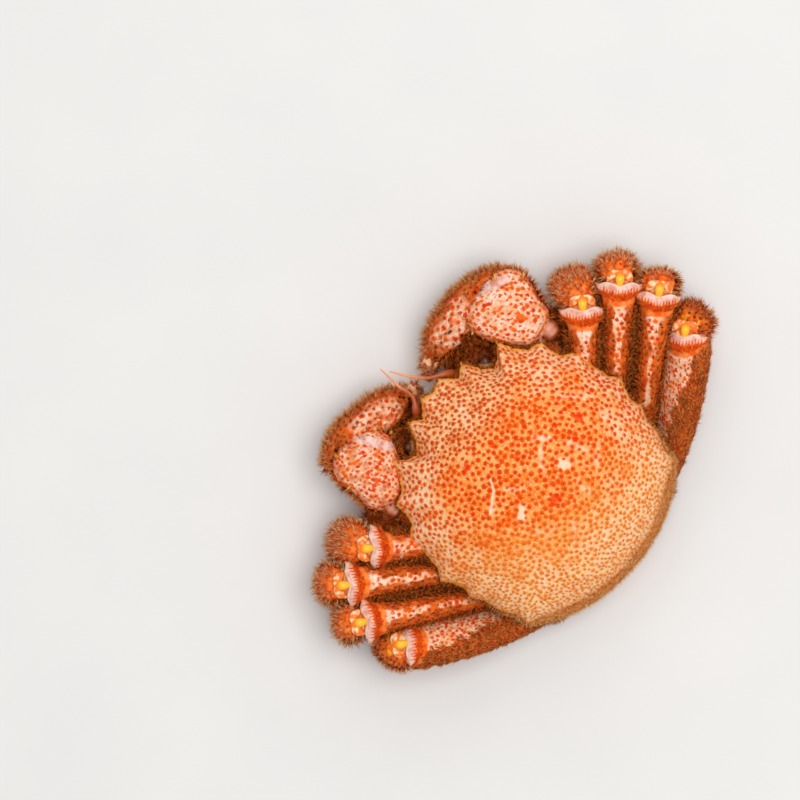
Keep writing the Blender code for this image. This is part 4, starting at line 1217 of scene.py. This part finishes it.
def make_knee(side, number, thigh, shin, finishes):
    """The lip and its horns, the yellow knob with a lobe on each side, and the skin under them."""
    knee, out, headward = knee_frame(side, number)
    name = f"{side}_{number}"

    def place(headward_mm, outward_mm, height):
        spot = knee + headward * headward_mm + out * outward_mm
        spot[2] = height
        return spot

    # The lip follows the curve of the thigh's top under it
    across = np.array([-5.0, -2.5, 0.0, 2.5, 5.0])
    tops = [top_at(thigh, place(far, -5.0, 0)) for far in across]
    rise = np.polyfit(across, tops, 2)
    path = [place(far, -depth, np.polyval(rise, far) - 0.9) for far, depth, _, _ in LIP]
    shares = np.concatenate([[0], np.cumsum(np.linalg.norm(np.diff(path, axis=0), axis=1))])
    sections = [(share, wide, tall) for share, (_, _, wide, tall) in zip(shares / shares[-1], LIP)]
    skin = Limb(path, sections, out, squareness=2.2, domes=(0.2, 0.2)).surface(pitch=0.4)
    inward = (skin.points - skin.points.mean(axis=1, keepdims=True)) @ out
    sideward = np.abs((skin.points - knee) @ headward)
    streaks = 0.5 + 0.5 * np.sin(((skin.points - knee) @ headward) * 5.2)
    horn = smooth(sideward, 6.4, 8.0)
    redness = smooth(-inward + streaks * 2.4, 0.7, 2.2)
    pink = (1 - horn) * smooth(2.1 - inward, 0, 0.7) * (0.95 - redness)
    skin.paint(cream=1.0, white=smooth(inward, 1.4, 2.1) * 0.7, pink=pink, red=redness * (1 - 0.7 * horn))
    skin.solid(f"knee_lip_{name}", finishes["limb"], "pale_joint")

    level = max(top_at(thigh, place(0, -2.5, 0)), top_at(shin, place(0, 4.0, 0)))
    parts = (("knob", 1, KNOB_PATH, KNOB), ("lobe", -1, LOBE_PATH, LOBE), ("lobe", 1, LOBE_PATH, LOBE))
    for index, (kind, sign, middle_line, sections) in enumerate(parts):
        path = [place(far * sign, outward_mm, level + above) for far, outward_mm, above in middle_line]
        skin = Limb(path, sections, squareness=2, domes=(0.5, 0.4)).surface(pitch=0.35)
        if kind == "knob":
            skin.paint(end=smooth(skin.share, 0.3, 1.0))
        else:
            skin.paint(end=0.4 + 0.35 * ripple(skin.points, 2.2, 10 * number + index))
        skin.solid(f"knee_{kind}_{name}_{index}", finishes[kind], "pale_joint")
    path = [place(far, outward_mm, knee[2] + above) for far, outward_mm, above in KNEE_SKIN_PATH]
    skin = Limb(path, KNEE_SKIN, headward, squareness=2, domes=(2.6, 2.6)).surface(pitch=0.5)
    skin.paint(end=0.1 + 0.7 * smooth(ripple(skin.points, 3, number), -0.3, 0.8))
    skin.solid(f"knee_skin_{name}", finishes["lobe"], "pale_joint")


def make_shin(side, number, limb, finishes, seed):
    """A shin, which hangs from the knee: bare and coloured round the knob, and furry below."""
    knee, _, headward = knee_frame(side, number)
    skin = limb.surface(pitch=0.5)
    up = skin.normals()[..., 2]
    # How much it faces another leg: the first shin has one only behind it, the fourth only in front
    forward = skin.normals() @ headward
    facing = {1: -forward, 4: forward}.get(number, np.abs(forward))
    between = smooth(facing, 0.5, 0.9) * smooth(0.5 - up, 0, 0.3)
    radial = (skin.points - knee) * (1, 1, 0)
    from_knob = np.linalg.norm(radial, axis=-1)
    patchy = ripple(skin.points, 4.5, seed)
    bare = smooth(6.2 - from_knob + patchy * 2.2, 0, 3.0) * smooth(up, -0.2, 0.3)
    skin.paint(
        fur=1 - bare,
        orange=smooth(9 - from_knob + patchy * 3, 0, 6) * smooth(up, 0.1, 0.5) * (number < 4),
        cream=bare * smooth(-patchy, -0.2, 0.6) * 0.8,
        gold=bare * smooth(patchy, -0.4, 0.2) * 0.75,
        red=bump_at(patchy, -0.6, 0.35) * smooth(9 - from_knob, 0, 3) * 0.9,
    )
    spots = skin.granules(spacing=1.6, amount=1 - 0.8 * bare, seed=seed, height=0.4)
    skin.solid(f"shin_{side}_{number}", finishes["limb"], "hairy_shell", f"leg_{side}_{number}_carpus")
    lean = unit(radial) * (0.9 + 1.7 * smooth(up, 0.2, 0.8))[..., None]
    piece = "felt_bristles" if number == 4 else "shin_bristles"
    tufts(
        piece, skin, spots, each=5, amount=1 - bare, length=2.9, width=0.18, lean=lean,
        seed=seed + 1, joints=2, ragged=0.25,
    )
    between = between * smooth(11 - from_knob, 0, 3)
    fur(
        "thigh_bristles", skin, per_mm2=1.4, amount=between, length=4.4, width=0.22, lean=UP * 0.9,
        seed=seed + 3, joints=2,
    )
    return skin


# ---------------------------------------------------------------- pincers and head


def make_pincer(side, finishes):
    """One pincer: arm, elbow, wrist, hand and its two fingers."""
    seed = 600 if side == "left" else 700
    wrist_path, hand_path, upper_path, lower_path = (
        sided(PINCERS[side][piece], side) for piece in ("wrist", "hand", "upper", "lower")
    )
    whole = Limb(sided(ARM_PATH, side), ARM)
    across = path_across(whole.path)
    pieces = (("arm_root", 0.0, ARM_JOINT, HIP, ()), ("arm", ARM_JOINT, 1.0, ARM, (f"claw_{side}_arm",)))
    for name, start, end, sections, nodes in pieces:
        path = whole.middle(start + (end - start) * np.arange(5) / 4)
        arm = Limb(path, sections, across).surface(pitch=0.7)
        arm.paint(fur=1 - 0.5 * smooth(arm.normals()[..., 2], 0.5, 0.9))
        spots = arm.granules(spacing=1.8, amount=1.0, seed=seed, height=0.35)
        arm.solid(f"{name}_{side}", finishes["limb"], "hairy_shell", *nodes)
        if name == "arm":
            tufts(
                "claw_bristles", arm, spots, each=4, amount=1.0, length=2.4, width=0.15,
                lean=arm.along * 0.4, seed=seed + 4, joints=2,
            )
    elbow = Limb(sided(ELBOW_PATH, side), ELBOW).surface(pitch=0.7)
    # Dark brown all over: partly its hair, partly painted shade, as it lies low between the shell and the
    # pincer.
    elbow.paint(brown_and_shade=1.0)
    spots = elbow.granules(spacing=1.8, amount=1.0, seed=seed + 6, height=0.35)
    elbow.solid(f"elbow_{side}", finishes["limb"], "hairy_shell")
    tufts(
        "hand_bristles", elbow, spots, each=7, amount=1.0, length=3.0, width=0.17, lean=UP * 0.5,
        seed=seed + 7, joints=2,
    )
    make_wrist(side, wrist_path, finishes, seed + 10)
    make_hand(side, hand_path, finishes, seed + 20)
    for part, path, nodes in (("upper", upper_path, (f"claw_{side}_finger",)), ("lower", lower_path, ())):
        skin = Limb(path, FINGER, path_across(path), domes=(1.5, 0.6)).surface(pitch=0.55)
        skin.paint(pale=0.8, gold=smooth(skin.share, 0.5, 0.95))
        spots = skin.granules(
            spacing=1.9, amount=1 - smooth(skin.share, 0.5, 0.7), seed=seed + 30, height=0.25,
        )
        skin.solid(f"finger_{part}_{side}", finishes["limb"], "shell", *nodes)
        amount = 1 - smooth(skin.share, 0.3, 0.6)
        tufts(
            "claw_bristles", skin, spots, each=9, amount=amount, length=2.6, width=0.14,
            lean=skin.along * 0.6, seed=seed + 31, joints=2,
        )


# Bare whitish stripes at the fronts of the wrists: from, to
PALE_STRIPES = {"left": ((34.0, -61.6), (27.8, -49.3)), "right": ((-39.6, -65.3), (-52.4, -59.3))}
# The smooth knobs behind the wrists: middle and radius
WRIST_BALLS = {
    "left": {"wrist_ball": ((45.2, -32.4, 26.8), 3.9), "wrist_lobe": ((40.8, -34.2, 26.6), 2.5)},
    "right": {"wrist_ball": ((-49.4, -33.4, 26.4), 4.5), "wrist_lobe": ((-43.6, -33.0, 26.2), 2.8)},
}
# Spines at the corners of the wrists: place, and the way it points, on the plan
WRIST_SPINES = {
    "left": [
        ((31.0, -66.0), (-0.4, -1.0)), ((22.6, -52.0), (-1.0, 0.2)),
        ((45.0, -62.6), (0.5, -1.0)), ((51.0, -51.0), (1.0, 0.0)),
    ],
    "right": [
        ((-27.2, -54.6), (1.0, 0.3)), ((-36.6, -66.0), (0.6, -1.0)),
        ((-50.0, -63.0), (-0.3, -1.0)), ((-59.0, -54.6), (-1, -0.2)),
    ],
}


def make_wrist(side, path, finishes, seed):
    """The broad wrist with its spines, and the smooth knobs behind it."""
    sections = np.array(WRIST) * (1, WRIST_WIDTH[side], 1)
    skin = Limb(path, sections, path_across(path), squareness=3.3, domes=(1.0, 1.5)).surface(pitch=0.5)
    normals = skin.normals()
    up = normals[..., 2]
    sway = ripple(skin.points, 7, seed)
    top = smooth(up + sway * 0.12, -0.1, 0.25)
    border = top * smooth(0.75 - up - sway * 0.08, 0, 0.2)
    from_stripe = segment_distance(skin.points[..., 0], skin.points[..., 1], *PALE_STRIPES[side])
    stripe = smooth(2.3 - from_stripe, 0, 1) * smooth(up, 0.1, 0.4)
    skin.paint(
        cream=top * ((0.5 if side == "left" else 0.75) - 0.4 * border + 0.2 * sway),
        pale=top * 0.55,
        gold=border * smooth(sway, -0.2, 0.8) * 0.6,
        fur=1 - top,
        pink=stripe,
        red=smooth(sway, 0.5, 1.2) * border * (1 - stripe),
    )
    spacing = (1.6 if side == "left" else 1.75) + 0.35 * border
    spots = skin.granules(spacing, amount=1 - 0.9 * stripe, seed=seed, height=0.5, reach=0.6, vary=0.45)
    skin.solid(f"wrist_{side}", finishes["limb"], "shell", f"claw_{side}_wrist")
    tufts(
        "ridge_bristles", skin, spots, each=2, amount=top * 0.8, length=1.0, width=0.13,
        lean=skin.along * 0.6, seed=seed + 1,
    )
    tufts(
        "claw_bristles", skin, spots, each=3, amount=border * (1 - stripe) * 0.7, length=2.0,
        width=0.15, lean=UP * -0.2, seed=seed + 9, joints=2, ragged=0.2,
    )
    sides = smooth(0.5 - up, 0, 0.25) * smooth(up, -0.9, -0.4)
    outer = smooth(normals[..., 1] * -0.7 + np.abs(normals[..., 0]) * 0.2, 0.0, 0.3)
    tufts(
        "claw_bristles", skin, spots, each=5, amount=sides * outer, length=3.2, width=0.18,
        lean=UP * 0.4 + skin.along * 0.3, seed=seed + 2, joints=2,
    )
    tufts(
        "hand_bristles", skin, spots, each=6, amount=sides * (1 - outer), length=3.2, width=0.18,
        lean=UP * 0.2 + skin.along * 0.2, seed=seed + 4, joints=2,
    )
    # Each spine starts a little in from its corner, and inside the wrist
    for index, (place, way) in enumerate(WRIST_SPINES[side]):
        base = np.array([*place, 0]) - unit(np.array([*way, 0.0])) * 1.6
        base[2] = top_at(skin, base) - 1.4
        add_bristles(
            "rim_spines", base[None], (*way, 0.45), length=3.4, width=1.1, seed=seed + 5 + index,
            joints=2, ragged=0.05,
        )
    for name, (middle, radius) in WRIST_BALLS[side].items():
        ball_path = [np.array(middle) + (0, far * radius, 0) for far in (0.55, 0.0, -0.55)]
        end = (radius * 0.82, radius * 0.8)
        sections = ((0, *end), (0.5, radius, radius), (1, *end))
        domes = (radius * 0.45, radius * 0.45)
        skin = Limb(ball_path, sections, CROSSWAYS, squareness=2, domes=domes).surface(pitch=0.45)
        # The knob is painted lighter towards its top: a painted highlight.
        skin.paint(end=0.75 * smooth(skin.normals()[..., 2], 0.4, 1.0))
        skin.solid(f"{name}_{side}", finishes["ball"], "pale_joint")


def make_hand(side, path, finishes, seed):
    """The hand, bare in the middle of its top and furry in front and behind."""
    skin = Limb(path, HAND, path_across(path)).surface(pitch=0.5)
    normals = skin.normals()
    up = normals[..., 2]
    forward = -normals[..., 1]
    sway = ripple(skin.points, 6, seed)
    bare = smooth(up + sway * 0.15, 0.45, 0.85)
    bare = bare * smooth(skin.share, 0.3, 0.5) * smooth(0.97 - skin.share, 0, 0.12)
    skin.paint(
        cream=bare * (0.6 + 0.3 * sway),
        pale=smooth(-sway, -0.4, 0.5) * 0.7 * smooth(up, -0.1, 0.4),
        fur=1 - bare,
        # dark brown on the lower side that faces the body: partly its hair, partly painted shade
        brown_and_shade=smooth(-0.1 - forward, 0, 0.4) * smooth(0.8 - up, 0, 0.3),
        red=smooth(sway, 0.6, 1.2) * bare * 0.6,
    )
    spots = skin.granules(
        spacing=2.1 - 0.4 * (1 - bare), amount=1.0, seed=seed, height=0.45, reach=0.6, vary=0.4,
    )
    skin.solid(f"hand_{side}", finishes["limb"], "hairy_shell", f"claw_{side}_palm")
    tufts(
        "claw_bristles", skin, spots, each=6, amount=bare, length=2.4, width=0.15,
        lean=skin.along * 1.4, seed=seed + 1,
    )
    outer = (1 - bare) * smooth(forward, -0.3, 0.2)
    tufts(
        "claw_bristles", skin, spots, each=9, amount=outer, length=3.5, width=0.15,
        lean=UP * 0.35 + skin.along * 0.15, seed=seed + 2, joints=2,
    )
    inner = (1 - bare) * smooth(-forward, -0.3, 0.2)
    tufts(
        "hand_bristles", skin, spots, each=7, amount=inner, length=4.0, width=0.19,
        lean=UP * 0.1 + skin.along * 0.4, seed=seed + 3, joints=2,
    )


FEELER_RINGS = 40
RING_HEIGHT = 0.05
SNOUT_BRISTLES = 260


def make_head(finishes):
    """Feelers, eyes, mouth plates, face and cheeks, and the fur round them."""
    for side in SIDES:
        feeler = Limb(FEELER_PATHS[side], FEELER, CROSSWAYS, squareness=2, domes=(0.5, 0.3))
        feeler = feeler.surface(pitch=0.3)
        rings = 0.5 + 0.5 * np.cos(feeler.share * 2 * math.pi * FEELER_RINGS)
        feeler.points = feeler.points + feeler.normals() * (RING_HEIGHT * rings)[..., None]
        feeler.paint(end=smooth(feeler.share, 0.25, 1.0))
        feeler.solid(f"feeler_{side}", finishes["feeler"], "pale_joint", f"antenna_{side}")
        eye_path = sided(EYE_PATH, side)
        eye = Limb(eye_path, EYE, path_across(eye_path), squareness=2, domes=(0.5, 1.0)).surface(pitch=0.25)
        eye.paint(end=smooth(eye.share, 0.8, 0.95))
        eye.solid(f"eye_stalk_{side}", finishes["eye"], "eye", f"eye_{side}")
        mouth = Limb(sided(MOUTH_PATH, side), MOUTH_PLATE, CROSSWAYS).surface(pitch=0.6)
        mouth.paint(cream=smooth(ripple(mouth.points, 6, 801), -0.4, 0.6))
        spots = mouth.granules(spacing=1.9, amount=1.0, seed=800, height=0.3)
        mouth.solid(f"mouth_plate_{side}", finishes["limb"], "hairy_shell", f"mouthpart_{side}")
        tufts(
            "head_bristles", mouth, spots, each=3, amount=0.8, length=1.8, width=0.13,
            lean=UP * 0.5, seed=802,
        )
    face = Limb(FACE_PATH, FACE, CROSSWAYS, squareness=3).surface(pitch=0.7)
    # Dark brown all over: partly its hair, partly painted shade under the shell's front edge.
    face.paint(brown_and_shade=1.0)
    spots = face.granules(spacing=1.7, amount=1.0, seed=810, height=0.3)
    face.solid("face", finishes["limb"], "hairy_shell")
    front = smooth(face.share, 0.6, 0.9)
    tufts(
        "head_bristles", face, spots, each=4, amount=front, length=2.6, width=0.15,
        lean=UP * 0.5 + (0, -0.3, 0), seed=811, joints=2,
    )
    tufts(
        "hand_bristles", face, spots, each=4, amount=front, length=6.5, width=0.2,
        lean=UP * 0.2 + (0, -1.0, 0), seed=835, joints=2,
    )

    # The cheeks, which fill the room between the pincers and the shell's front edge
    for side in SIDES:
        path = sided(CHEEK_PATH, side)
        cheek = Limb(path, CHEEK, path_across(path)).surface(pitch=0.7)
        # Dark brown all over: partly their hair, partly painted shade between the pincers and the shell.
        cheek.paint(brown_and_shade=1.0)
        spots = cheek.granules(spacing=1.7, amount=1.0, seed=815, height=0.3)
        cheek.solid(f"cheek_{side}", finishes["limb"], "hairy_shell")
        tufts(
            "hand_bristles", cheek, spots, each=7, amount=1.0, length=3.0, width=0.18,
            lean=UP * 0.3 + (0, -0.4, 0), seed=816, joints=2,
        )

    # A golden fringe in the notches of the eyes, and a tuft at the snout
    for sign in (-1, 1):
        angles = np.radians(-90 + sign * np.linspace(17, 36, 90))
        roots = edge_point(angles) * (0.99, 0.99, 1) - (0, 0, 0.8)
        add_bristles(
            "head_bristles", roots, outward(angles, 0.1), length=1.9, width=0.13, seed=820 + sign,
        )
    rng = np.random.default_rng(830)
    roots = edge_point(np.radians(-90 + rng.normal(0, 3, SNOUT_BRISTLES))) * (0.96, 0.96, 1)
    roots[:, 2] -= rng.uniform(0.8, 2, SNOUT_BRISTLES)
    add_bristles(
        "head_bristles", roots, (0.05, -1, 0.1), length=4.2, width=0.14, seed=831, joints=2,
        ragged=0.4,
    )


FLAP_LENGTH = 75.0
FLAP_JOINTS = (0.06, 0.13, 0.21, 0.33, 0.46, 0.6, 0.75, 0.9)  # shares of the flap's length
JOINT_DEPTH = 0.7
GROOVE_HALF_WIDTH = 1.3  # of the flap's joints and of the breastplate's seams
BREAST_SEAMS = (-14, -1, 12, 24, 34)  # where they cross the mid-line
SEAM_SLANT = 0.16
SEAM_DEPTH = 0.8
TRUNK_ROWS = 40  # of points on the walls, and as many on the breastplate
TRUNK_COLUMNS = 240


def make_underside(finishes):
    """The tail flap that is folded under the body, and the trunk with its breastplate."""
    flap = Limb(FLAP_PATH, FLAP, CROSSWAYS, squareness=2.5, domes=(0.6, 0.8)).surface(pitch=0.7)
    from_joint = np.minimum.reduce([np.abs(flap.share - joint) for joint in FLAP_JOINTS]) * FLAP_LENGTH
    groove = smooth(1 - from_joint / GROOVE_HALF_WIDTH)
    flap.points = flap.points - flap.normals() * (JOINT_DEPTH * groove)[..., None]
    flap.paint(end=np.clip(0.3 * ripple(flap.points, 5, 850) + 0.4 + 0.6 * groove, 0, 1))
    flap.solid("tail_plate", finishes["belly"], "pale_joint", "tail_flap")
    edge = smooth(np.abs(flap.points[..., 0]) / flap.points[..., 0].max(axis=1, keepdims=True), 0.75, 1.0)
    behind = smooth(0.42 - flap.share, 0, 0.05)
    fur(
        "gold_fringe", flap, per_mm2=2.4, amount=edge * behind, length=2.6, width=0.15,
        lean=flap.along * 0.5, seed=851, joints=2,
    )
    rows = smooth(1 - from_joint / 1.6) * behind
    fur(
        "gold_fringe", flap, per_mm2=3.0, amount=np.maximum(rows, 0.35 * behind), length=1.7,
        width=0.14, lean=flap.along * 1.2, seed=852,
    )

    # The trunk: its walls from under the shell down to the breastplate, and the breastplate inward
    level = np.ones(TRUNK_ROWS)
    depth = np.concatenate([np.linspace(0, 1, TRUNK_ROWS), level])[:, None]
    inward = np.concatenate([level, np.linspace(1, 0.03, TRUNK_ROWS)])[:, None]
    angle = np.linspace(0, 2 * math.pi, TRUNK_COLUMNS, endpoint=False)[None]
    levels = np.array(TRUNK_LEVELS)
    front, rear = smooth_values(levels[:, 0], levels[:, 1:], depth[:, 0]).T[..., None]
    out = plain_reach(angle) * (front + (rear - front) * smooth(np.sin(angle) * 1.3 - 0.15))
    cosine, sine = np.cos(angle), np.sin(angle)
    low_x = BREAST_HALF_WIDTH * np.sign(cosine) * np.abs(cosine) ** BREAST_SQUARENESS
    half_long, middle = (BREAST_REAR - BREAST_FRONT) / 2, (BREAST_FRONT + BREAST_REAR) / 2
    low_y = half_long * np.sign(sine) * np.abs(sine) ** BREAST_SQUARENESS
    narrowing = depth**1.2
    x = (cosine * out * (1 - narrowing) + low_x * narrowing) * inward
    y = sine * out * (1 - narrowing) + middle * narrowing + low_y * narrowing * inward
    z = (rim_height(y) - SKIRT_DEPTH - 0.3) * (1 - depth) + BREAST_HEIGHT * depth
    trunk = Surface(np.stack([x, y, z], axis=-1))
    seams = [np.abs(y - start - SEAM_SLANT * np.abs(x)) for start in BREAST_SEAMS]
    seam = smooth(1 - np.minimum.reduce(seams) / GROOVE_HALF_WIDTH) * smooth(depth, 0.75, 1)
    trunk.points = trunk.points - trunk.normals() * (SEAM_DEPTH * seam)[..., None]
    side = 1 - smooth(depth, 0.6, 0.95)
    trunk.paint(fur=np.maximum(side, seam), pale=1 - side)
    spots = trunk.granules(spacing=2.0, amount=0.35 + 0.65 * side, seed=860, height=0.3)
    trunk.solid("trunk_skin", finishes["limb"], "hairy_shell", "trunk")
    rearward = smooth(np.sin(angle), 0.2, 0.7) * side
    tufts(
        "gold_fringe", trunk, spots, each=4, amount=rearward, length=2.2, width=0.14,
        lean=(0, 0, 0.1), seed=861, joints=2,
    )
    tufts(
        "foot_bristles", trunk, spots, each=3, amount=(1 - rearward) * side, length=2.2,
        width=0.14, lean=(0, 0, 0.1), seed=862,
    )


# The bristles: piece, slot, and colour at the root and at the tip
BRISTLES = (
    ("back_bristles", "shell", (140, 52, 6), (176, 92, 26)),
    ("gold_fringe", "hairy_shell", (238, 146, 60), (255, 210, 140)),
    ("brown_fringe", "hairy_shell", (96, 32, 2), (246, 130, 52)),
    ("thigh_bristles", "hairy_shell", (80, 24, 0), (248, 130, 48)),
    ("felt_bristles", "hairy_shell", (160, 54, 8), (255, 162, 86)),
    ("ridge_bristles", "shell", (168, 56, 8), (244, 146, 70)),
    ("knee_bristles", "shell", (250, 70, 0), (255, 144, 66)),
    ("shin_bristles", "hairy_shell", (236, 104, 34), (255, 226, 166)),
    ("foot_bristles", "hairy_shell", (150, 62, 16), (246, 170, 98)),
    ("claw_bristles", "hairy_shell", (208, 96, 30), (255, 192, 114)),
    ("hand_bristles", "hairy_shell", (84, 26, 0), (242, 124, 48)),
    ("head_bristles", "hairy_shell", (156, 80, 20), (250, 176, 80)),
)


def make_crab():
    finishes = {
        "shell": shell_finish(),
        "limb": limb_finish(),
        "knob": smooth_finish("knob_horn", tone(254, 192, 40), tone(250, 134, 14), 0.25),
        "lobe": smooth_finish("lobe_horn", tone(244, 118, 18), tone(254, 216, 164), 0.3),
        # The wrist knobs: their own brown, lighter on top as a painted highlight.
        "ball": smooth_finish("wrist_knob_painted_highlight", tone(190, 96, 56), tone(226, 156, 128), 0.3),
        "feeler": smooth_finish("feeler_skin", tone(178, 78, 34), tone(244, 156, 98)),
        "eye": smooth_finish("eye_skin", tone(206, 146, 92), tone(92, 52, 30), 0.25),
        "belly": smooth_finish("belly_skin", tone(246, 176, 116), tone(206, 100, 42)),
    }
    make_shell(finishes["shell"])
    for side, number in LEGS:
        make_leg(side, number, finishes)
    for side in SIDES:
        make_pincer(side, finishes)
    make_head(finishes)
    make_underside(finishes)
    make_rim_spines()
    for piece, slot, root, tip in BRISTLES:
        make_bristles(piece, slot, root, tip)


make_stage()
make_crab()
